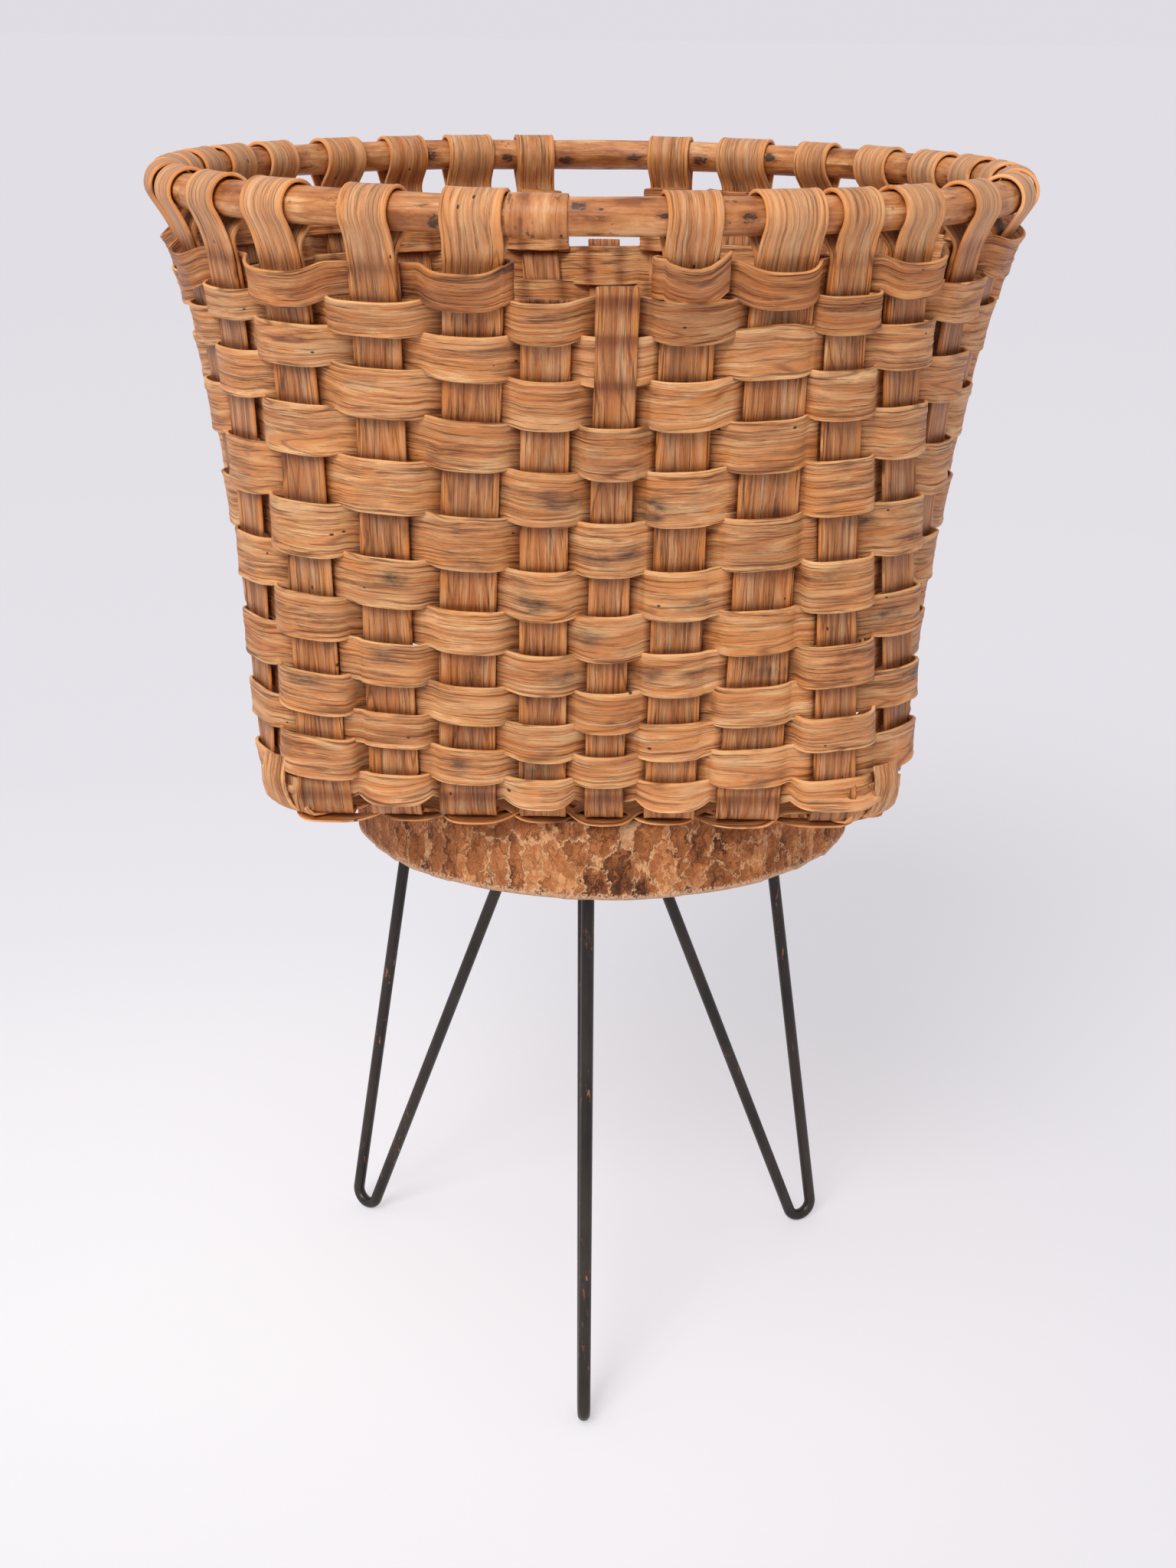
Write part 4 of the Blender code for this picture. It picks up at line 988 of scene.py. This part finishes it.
def rim_pole():
    """The hoop, with knots and unevenness."""
    bm = bmesh.new()
    uv = bm.loops.layers.uv.new("fibre")
    stain = bm.verts.layers.float.new("stain")
    place = Matrix.Translation((RIM_RADIUS, 0.0, SEAT_TOP + RIM_HEIGHT)) @ Matrix.Rotation(math.pi / 2, 4, "X")
    bmesh.ops.create_circle(bm, segments=POLE_CORNERS, radius=POLE_RADIUS, matrix=place)
    bmesh.ops.spin(bm, geom=bm.edges[:], axis=(0.0, 0.0, 1.0), cent=(0.0, 0.0, 0.0), angle=FULL_TURN,
                   steps=POLE_TURNS, use_merge=True)
    bmesh.ops.recalc_face_normals(bm, faces=bm.faces)

    def angles(co):
        """Directions round the rim and round the pole."""
        return (math.atan2(co.y, co.x),
                math.atan2(co.z - SEAT_TOP - RIM_HEIGHT, math.hypot(co.x, co.y) - RIM_RADIUS))

    for face in bm.faces:
        face.smooth = True
        centre_rim, centre_pole = angles(face.calc_center_median())
        for corner in face.loops:
            round_rim, round_pole = angles(corner.vert.co)
            corner[uv].uv = (near_turn(round_rim, centre_rim) * RIM_RADIUS,
                             near_turn(round_pole, centre_pole) * POLE_RADIUS)
    for vert in bm.verts:
        round_rim, round_pole = angles(vert.co)
        lift = 0.25 * math.sin(9.0 * round_rim + round_pole) + 0.15 * math.sin(23.0 * round_rim - 2.0 * round_pole)
        mark = 0.0
        for rim_degrees, pole_degrees, height, size in POLE_KNOTS:
            off = half_turn(round_rim - math.radians(rim_degrees))
            turn = half_turn(round_pole - math.radians(pole_degrees))
            near = math.exp(-((off * RIM_RADIUS / MM / size) ** 2 + (turn * POLE_RADIUS / MM / (0.6 * size)) ** 2))
            lift += height * near
            mark = max(mark, min(1.0, 1.6 * near))
        vert[stain] = mark
        centre = Vector((RIM_RADIUS * math.cos(round_rim), RIM_RADIUS * math.sin(round_rim), SEAT_TOP + RIM_HEIGHT))
        vert.co += (vert.co - centre).normalized() * (lift - 0.35) * MM
    made = to_object("peeled_rim_pole", bm, pole_wood)
    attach(made, "basket")
    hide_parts("rim_pole")
    return made


pole = rim_pole()
print("pole faces:", len(pole.data.polygons))

# %% [markdown]
# ### The sleeve on the joint
# The pole's two ends meet beside a loop. A thin strip is wrapped once and a bit round them and nailed. Its end
# lies on its beginning, which leaves a small step along the pole.

# %% Wrap the sleeve
SLEEVE_LENGTH, SLEEVE_THICKNESS = 37.0 * MM, 0.9 * MM
round_pole = np.radians(np.linspace(-100.0, 285.0, 45))
across = np.linspace(-1.0, 1.0, 13)
layer = POLE_RADIUS + 0.9 * MM + np.clip((round_pole - math.radians(225.0)) / 0.5, 0.0, 1.0) * 0.25 * MM
start = TURN[FRONT_C] + (0.5 * WIDTH[FRONT_C] + 1.5 * MM) / (RIM_RADIUS + 8.0 * MM)
round_rim = start + SLEEVE_LENGTH / RIM_RADIUS * (0.5 + 0.5 * across)
reach = RIM_RADIUS + (layer * np.cos(round_pole))[:, None] * np.ones(len(across))
points = np.stack((reach * np.cos(round_rim), reach * np.sin(round_rim),
                   (layer * np.sin(round_pole))[:, None] + RIM_HEIGHT + SEAT_TOP + 0.0 * round_rim), axis=-1)
sleeve = strip("rim_joint_wrap", points[:, ::-1], round_pole * POLE_RADIUS, across * 0.5 * SLEEVE_LENGTH,
               SLEEVE_THICKNESS, pole_wood, "basket")
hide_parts("rim_joint_sleeve")
print("sleeve:", sleeve.name)

# %% [markdown]
# ## The seat
# The seat is a slice of a log. Its side was hewn with a small blade, which left slanted flakes, and its two faces
# are sawn and show the years as rings. A bump in the material alone would leave the outline smooth. So the side is
# a circle extruded upwards in layers, and each vertex is moved in or out by the flake in which it lies.

# %% Material of the seat
PITH = (0.001, -0.028, 0.0)
YEARS = 105.0


def log_material():
    """Brown flakes of several sizes, pale torn rims, dark pits and upright grain, and year rings on the sawn faces."""
    made, tree, shader = new_material("hewn log")
    uv, spot, sawn = fibre_map(tree), object_place(tree), attribute(tree, "sawn")
    pushed = add_node(tree, "TexNoise", {"Vector": stretched(tree, uv, (45.0, 30.0, 1.0)), "Detail": 3.0})["Color"]
    pushed = vector_node(tree, "SUBTRACT", pushed, (0.5, 0.5, 0.5))
    pushed = add_node(tree, "VectorMath", {0: pushed, "Scale": 0.018}, operation="SCALE")[0]
    warped = vector_node(tree, "ADD", uv, pushed)
    flakes = []
    for scale in ((52.0, 25.0, 1.0), (115.0, 56.0, 1.0)):
        spread = stretched(tree, warped, scale)
        cell, pick, pick_side = cells(tree, spread)
        rim = add_node(tree, "TexVoronoi", {"Vector": spread, "Scale": 1.0}, feature="DISTANCE_TO_EDGE")["Distance"]
        aside = vector_node(tree, "SUBTRACT", spread, cell["Position"])
        slope = between(tree, add_node(tree, "SeparateXYZ", {"Vector": aside})["X"], -0.45, 0.45)
        flakes.append((pick, pick_side, rim, slope))
    (big, big_side, big_rim, big_slope), (small, small_side, small_rim, small_slope) = flakes
    broad = between(tree, noise(tree, uv, (30.0, 30.0, 1.0), 3.0), 0.34, 0.66)
    grain = between(tree, noise(tree, warped, (700.0, 90.0, 1.0), 3.0, 0.6), 0.32, 0.68)
    specks = noise(tree, uv, (520.0, 420.0, 1.0), 2.0, 0.6)
    # The slope across each flake also goes into the tone, so one side of a flake is lighter and the other darker. This
    # is painted light and shade on the flake's tilt, which the bump tilts the same way.
    tone = weighted(tree, (big, 0.26), (small, 0.16), (broad, 0.16), (grain, 0.20), (big_slope, 0.14),
                    (small_slope, 0.08))
    colour = ramp(tree, tone, [(0.30, (0.075, 0.022, 0.007)), (0.44, (0.34, 0.108, 0.031)),
                               (0.60, (0.52, 0.190, 0.062)), (0.78, (0.84, 0.40, 0.17))])
    pale = product(tree, between(tree, big_rim, 0.055, 0.015), between(tree, big_side, 0.35, 0.6))
    cut = product(tree, between(tree, small_rim, 0.07, 0.02), between(tree, small_side, 0.55, 0.75))
    pits = product(tree, between(tree, specks, 0.66, 0.70), between(tree, broad, 0.7, 0.3))
    ragged = math_node(tree, "MULTIPLY_ADD", between(tree, specks, 0.35, 0.65), 0.55, attribute(tree, "edge"))
    colour = tinted(tree, colour, (pale, 0.75, (0.84, 0.50, 0.26)), (cut, 0.70, (0.11, 0.034, 0.012)),
                    (pits, 0.85, (0.04, 0.018, 0.010)), (between(tree, ragged, 0.80, 1.05), 0.8, (0.80, 0.50, 0.31)))
    from_pith = vector_node(tree, "SUBTRACT", stretched(tree, spot, (1.0, 1.0, 0.0)), PITH)
    far = math_node(tree, "MULTIPLY_ADD", noise(tree, spot, (9.0, 9.0, 0.0), 3.0), 0.045, add_node(
        tree, "VectorMath", {0: from_pith}, operation="LENGTH")["Value"])
    lean_years = noise(tree, add_node(tree, "CombineXYZ", {"X": far})[0], (28.0, 1.0, 1.0))
    year = math_node(tree, "PINGPONG", weighted(tree, (lean_years, 4.0), (far, YEARS)), 0.5)
    rings = ramp(tree, product(tree, year, 2.0), [
        (0.0, (0.24, 0.085, 0.026)), (0.30, (0.52, 0.245, 0.090)), (1.0, (0.70, 0.400, 0.185))])
    saw_marks = between(tree, noise(tree, spot, (26.0, 420.0, 0.0), 3.0), 0.35, 0.7)
    rings = tinted(tree, rings, (saw_marks, 0.30, (0.36, 0.150, 0.055)),
                   (between(tree, broad, 1.0, 0.0), 0.45, (0.34, 0.140, 0.050)))
    hewn = weighted(tree, (big_slope, 0.9), (small_slope, 0.45), (grain, 0.2), (big, 0.6))
    height = math_node(tree, "MULTIPLY_ADD", saw_marks, 0.12, product(tree, hewn, inverse(tree, sawn)))
    dress(tree, shader, {"Base Color": mix_colours(tree, sawn, colour, rings), "Roughness": 0.75,
                         "Specular IOR Level": 0.25}, height, 2.6 * MM)
    return made


log_wood = log_material()
print("seat's finish:", log_wood.name)

# %% The seat's measures, and rings of edges
SEAT_CENTRE = Vector((12.7 * MM, -14.9 * MM, 0.0))
SEAT_RADIUS, SEAT_THICKNESS = 191.3 * MM, 58.5 * MM
LEG_HEIGHT = 405.9 * MM
SEAT_CORNERS, SEAT_LAYERS, FLAKES = 360, 22, 230
FLAKE_SIZE = 14.0 * MM
FACE_RINGS = (0.95, 0.85, 0.7, 0.5, 0.3)
SAME = 0.01 * MM


def extruded(bm, edges):
    """Extrude edges. It gives the new vertices, and the new edges between them."""
    grown = bmesh.ops.extrude_edge_only(bm, edges=edges)["geom"]
    verts = {item for item in grown if isinstance(item, bmesh.types.BMVert)}
    return list(verts), [item for item in grown if isinstance(item, bmesh.types.BMEdge)
                         and verts.issuperset(item.verts)]


print("flakes on the seat's side:", FLAKES)

# %% Shape the seat
def seat():
    """A thick disc whose side is cut into flakes."""
    bm = bmesh.new()
    uv = bm.loops.layers.uv.new("fibre")
    place = Matrix.Translation(SEAT_CENTRE + Vector((0.0, 0.0, LEG_HEIGHT)))
    bmesh.ops.create_circle(bm, cap_ends=False, segments=SEAT_CORNERS, radius=SEAT_RADIUS, matrix=place)
    rim = bm.edges[:]
    for _ in range(SEAT_LAYERS):
        raised, rim = extruded(bm, rim)
        bmesh.ops.translate(bm, verts=raised, vec=(0.0, 0.0, SEAT_THICKNESS / SEAT_LAYERS))
    edge = bm.verts.layers.float.new("edge")
    sawn = bm.loops.layers.float.new("sawn")
    local = np.random.default_rng(5)
    seeds = np.stack((local.uniform(0.0, FULL_TURN, FLAKES) * SEAT_RADIUS,
                      local.uniform(-0.1, 1.1, FLAKES) * SEAT_THICKNESS), axis=1)
    tilt = local.uniform(-1.0, 1.0, (FLAKES, 2))
    level = local.uniform(0.0, 1.0, FLAKES)
    half_round = math.pi * SEAT_RADIUS
    for vert in bm.verts:
        flat = vert.co - SEAT_CENTRE
        turn = math.atan2(flat.y, flat.x) % FULL_TURN
        spot = np.array([turn * SEAT_RADIUS, vert.co.z - LEG_HEIGHT])
        off = spot - seeds
        off[:, 0] = (off[:, 0] + half_round) % (2.0 * half_round) - half_round
        slanted = np.stack((off[:, 0] - 0.25 * off[:, 1], off[:, 1] / 2.0), axis=1)
        cell = int(np.argmin(np.linalg.norm(slanted, axis=1)))
        hollow = 0.5 * level[cell] + (tilt[cell, 0] * off[cell, 0] + 0.5 * tilt[cell, 1] * off[cell, 1]) / FLAKE_SIZE
        wave = 0.5 * math.sin(3 * turn + 1.0) + 0.3 * math.sin(5 * turn + 2.2) + 0.2 * math.sin(11 * turn)
        share = spot[1] / SEAT_THICKNESS
        worn = math.exp(-share / 0.05) + math.exp(-(1.0 - share) / 0.05)
        reach = SEAT_RADIUS + 1.6 * MM * wave - (1.7 * min(max(hollow, -0.6), 1.6) + 1.8 * worn) * MM
        vert[edge] = min(1.0, 1.3 * math.exp(-share / 0.09) + 0.9 * math.exp(-(1.0 - share) / 0.05))
        vert.co = SEAT_CENTRE + Vector((reach * math.cos(turn), reach * math.sin(turn), vert.co.z))
    for face in bm.faces:
        face.smooth = True
        centre = face.calc_center_median() - SEAT_CENTRE
        middle_turn = math.atan2(centre.y, centre.x)
        for corner in face.loops:
            flat = corner.vert.co - SEAT_CENTRE
            corner[uv].uv = (near_turn(math.atan2(flat.y, flat.x), middle_turn) * SEAT_RADIUS, flat.z)
    side_faces = set(bm.faces)
    for height in (LEG_HEIGHT, LEG_HEIGHT + SEAT_THICKNESS):
        rim = [e for e in bm.edges if e.is_boundary and all(abs(v.co.z - height) < SAME for v in e.verts)]
        for smaller in FACE_RINGS:
            inner, rim = extruded(bm, rim)
            bmesh.ops.scale(bm, verts=inner, vec=(smaller, smaller, 1.0), space=Matrix.Translation(-SEAT_CENTRE))
        bmesh.ops.contextual_create(bm, geom=rim)
    for face in set(bm.faces) - side_faces:
        face.smooth = False
        for corner in face.loops:
            corner[uv].uv = corner.vert.co.xy
            corner[sawn] = 1.0
    bmesh.ops.recalc_face_normals(bm, faces=bm.faces)
    made = to_object("hewn_seat", bm, log_wood)
    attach(made, "stand")
    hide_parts("slab")
    return made


stool_seat = seat()
print("seat faces:", len(stool_seat.data.polygons))

# %% [markdown]
# ## The legs
# Each leg is one round steel rod, bent in two at the foot and driven into the seat with both ends. A circle is
# drawn out along the first straight run, spun round the bend, and drawn out again to the second hole.

# %% Material of the steel
def steel_material():
    """Blackened steel with a satin shine and a few rusty scratches."""
    made, tree, shader = new_material("blackened steel")
    spot = object_place(tree)
    cloud = noise(tree, spot, (40.0, 40.0, 12.0), 4.0, 0.6)
    colour = ramp(tree, between(tree, cloud, 0.3, 0.7), [(0.0, (0.014, 0.011, 0.009)), (1.0, (0.045, 0.034, 0.027))])
    scratch = noise(tree, spot, (260.0, 260.0, 45.0), 3.0, 0.7, 1.5)
    low = noise(tree, spot, (20.0, 20.0, 14.0), 1.0)
    worn = product(tree, between(tree, scratch, 0.62, 0.66), between(tree, low, 0.52, 0.62))
    colour = mix_colours(tree, worn, colour, (0.36, 0.13, 0.04, 1.0))
    dress(tree, shader, {"Base Color": colour, "Metallic": 0.4,
                         "Roughness": between(tree, cloud, 0.0, 1.0, 0.28, 0.5)}, scratch, 0.1 * MM, 0.5)
    return made


steel = steel_material()
print("rods' finish:", steel.name)

# %% The legs' measures
ROD_RADIUS, BEND_OF_ROD = 4.75 * MM, 11.0 * MM
ROD_CORNERS, RUN_PARTS, BEND_PARTS = 24, 12, 28
# Each leg has its direction and the turn of its rod against it, in degrees.
LEGS = {"front": (-87.6, 0.0), "right": (28.2, 1.0), "left": (149.3, -8.0)}
LEGS_CENTRE = Vector((-1.5 * MM, -14.9 * MM, 0.0))
FOOT_REACH, OUTER_HOLE, INNER_HOLE = 217.6 * MM, 166.7 * MM, 44.9 * MM
HOLE_DEPTH = 34.0 * MM


def ray(degrees):
    """A level direction."""
    return Vector((math.cos(math.radians(degrees)), math.sin(math.radians(degrees)), 0.0))


print("legs:", list(LEGS))

# %% One leg
def hairpin(name, azimuth, twist):
    """One rod: straight, round the foot and straight again."""
    foot = LEGS_CENTRE + ray(azimuth) * FOOT_REACH
    middle = LEGS_CENTRE + ray(azimuth) * 0.5 * (OUTER_HOLE + INNER_HOLE)
    across = ray(azimuth + twist)
    lift = Vector((0.0, 0.0, LEG_HEIGHT))
    spread = 0.5 * (OUTER_HOLE - INNER_HOLE)
    outer, inner = middle + across * spread + lift, middle - across * spread + lift
    rise = middle + lift - foot
    up = (rise - across * rise.dot(across)).normalized()
    centre = foot + up * ((ROD_RADIUS + BEND_OF_ROD * up.z) / up.z)

    def leave(point, sign):
        """The angle at which a straight run to the point leaves the bend."""
        toward = point - centre
        reach, height = toward.dot(across), toward.dot(up)
        return math.atan2(height, reach) - sign * math.acos(BEND_OF_ROD / math.hypot(reach, height))

    first, last = leave(outer, 1.0), leave(inner, -1.0) - FULL_TURN
    start, end = [centre + (across * math.cos(turn) + up * math.sin(turn)) * BEND_OF_ROD for turn in (first, last)]
    down, back = (start - outer).normalized(), (inner - end).normalized()
    tip = outer - down * HOLE_DEPTH
    bm = bmesh.new()
    place = Matrix.Translation(tip) @ down.to_track_quat("Z", "Y").to_matrix().to_4x4()
    bmesh.ops.create_circle(bm, cap_ends=True, segments=ROD_CORNERS, radius=ROD_RADIUS, matrix=place)

    def drawn_out(edges, way):
        """The ring of edges at the end of a straight run."""
        for _ in range(RUN_PARTS):
            moved, edges = extruded(bm, edges)
            bmesh.ops.translate(bm, verts=moved, vec=way / RUN_PARTS)
        return edges

    turned = bmesh.ops.spin(bm, geom=drawn_out(bm.edges[:], start - tip), axis=across.cross(up), cent=centre,
                            angle=last - first, steps=BEND_PARTS, use_merge=False)
    ring_now = [item for item in turned["geom_last"] if isinstance(item, bmesh.types.BMEdge)]
    bmesh.ops.contextual_create(bm, geom=drawn_out(ring_now, inner + back * HOLE_DEPTH - end))
    bmesh.ops.remove_doubles(bm, verts=bm.verts, dist=0.005 * MM)
    bmesh.ops.recalc_face_normals(bm, faces=bm.faces)
    for face in bm.faces:
        face.smooth = len(face.verts) == 4
    made = to_object("hairpin_" + name, bm, steel)
    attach(made, "stand")
    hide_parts("hairpin_leg_" + name)
    return made


# %% Bend the rods
for name, (azimuth, twist) in LEGS.items():
    made = hairpin(name, azimuth, twist)
    low = min(v.co.z for v in made.data.vertices)
    print(made.name, "lowest point", round(low / MM, 2), "mm")

# %% [markdown]
# ## Floor, light and camera
# Everything behind the object is pale in the photograph. Here a wide flat floor turns a little greyer far away,
# soft light comes from everywhere and a little more from above and in front, and the camera is placed so that the
# rim, the seat and the feet lie where the photograph has them.

# %% Which rays see the background
def background_rays(tree):
    """1 for the rays that look at the background, straight or through a gloss or glass, and 0 for the others."""
    path = add_node(tree, "LightPath", {})
    mirrored = math_node(tree, "MAXIMUM", path["Is Camera Ray"], path["Is Glossy Ray"])
    return math_node(tree, "MAXIMUM", mirrored, path["Is Transmission Ray"])


# %% Floor
def stage_material():
    """Near white close by, a little greyer far away."""
    made, tree, shader = new_material("studio floor")
    aside = vector_node(tree, "ADD", object_place(tree), (0.32, 0.12, 0.0))
    far = add_node(tree, "VectorMath", {0: aside}, operation="LENGTH")["Value"]
    colour = ramp(tree, between(tree, far, 0.1, 8.0), [
        (0.0, (0.955, 0.94, 0.965)), (0.05, (0.905, 0.885, 0.92)), (0.10, (0.825, 0.805, 0.85)),
        (0.18, (0.775, 0.752, 0.80)), (0.5, (0.75, 0.727, 0.772)), (1.0, (0.738, 0.713, 0.76))])
    dress(tree, shader, {"Base Color": colour, "Roughness": 0.9, "Specular IOR Level": 0.1})
    glow = add_node(tree, "Emission", {"Color": colour, "Strength": 1.0})[0]
    seen = product(tree, background_rays(tree), 0.5)
    mixed = add_node(tree, "MixShader", {0: seen, 1: shader.outputs[0], 2: glow})[0]
    tree.links.new(mixed, tree.nodes["Material Output"].inputs["Surface"])
    return made


FLOOR_REACH = 60.0
bm = bmesh.new()
bmesh.ops.create_grid(bm, x_segments=2, y_segments=2, size=FLOOR_REACH)
floor = to_object("floor", bm, stage_material())
print("floor:", floor.name, "with", floor.data.materials[0].name)

# %% Light
world = bpy.data.worlds.new("studio")
bpy.context.scene.world = world
world.use_nodes = True
sky = world.node_tree
near_sky = sky.nodes["Background"]
near_sky.inputs["Color"].default_value = (1.0, 0.99, 1.0, 1.0)
near_sky.inputs["Strength"].default_value = 0.52
backdrop = add_node(sky, "Background", {"Color": (0.745, 0.72, 0.77, 1.0), "Strength": 1.0})[0]
either = add_node(sky, "MixShader", {0: background_rays(sky), 1: near_sky.outputs[0], 2: backdrop})[0]
sky.links.new(either, sky.nodes["World Output"].inputs["Surface"])
for name, turn, angle, strength in (("soft light above", (18.0, -14.0, 0.0), 40.0, 0.55),
                                    ("soft light in front", (48.0, -23.0, 0.0), 26.0, 1.86)):
    lamp = bpy.data.lights.new(name, "SUN")
    lamp.energy, lamp.angle = strength, math.radians(angle)
    holder = bpy.data.objects.new(name, lamp)
    holder.rotation_euler = [math.radians(v) for v in turn]
    bpy.context.scene.collection.objects.link(holder)
    print(name, "with strength", strength)

# %% Camera
YAW, PITCH, ROLL = -0.0128990, 0.3131072, 0.0119458
CAMERA_PLACE = (25.9 * MM, -1828.7 * MM, 1018.5 * MM)
FOCAL_PIXELS, PICTURE_PIXELS, SENSOR = 3178.09, 2048.0, 36.0
forward = Vector((math.sin(YAW) * math.cos(PITCH), math.cos(YAW) * math.cos(PITCH), -math.sin(PITCH)))
level = forward.cross(Vector((0.0, 0.0, 1.0))).normalized()
upright = level.cross(forward)
right = level * math.cos(ROLL) + upright * math.sin(ROLL)
up = upright * math.cos(ROLL) - level * math.sin(ROLL)
camera_data = bpy.data.cameras.new("camera")
camera_data.lens = FOCAL_PIXELS / PICTURE_PIXELS * SENSOR
camera_data.sensor_width = SENSOR
camera = bpy.data.objects.new("camera", camera_data)
camera.matrix_world = Matrix.Translation(CAMERA_PLACE) @ Matrix((right, up, -forward)).transposed().to_4x4()
bpy.context.scene.collection.objects.link(camera)
bpy.context.scene.camera = camera
bpy.context.scene.view_settings.view_transform = "Standard"
print("lens", round(camera_data.lens, 2), "mm")
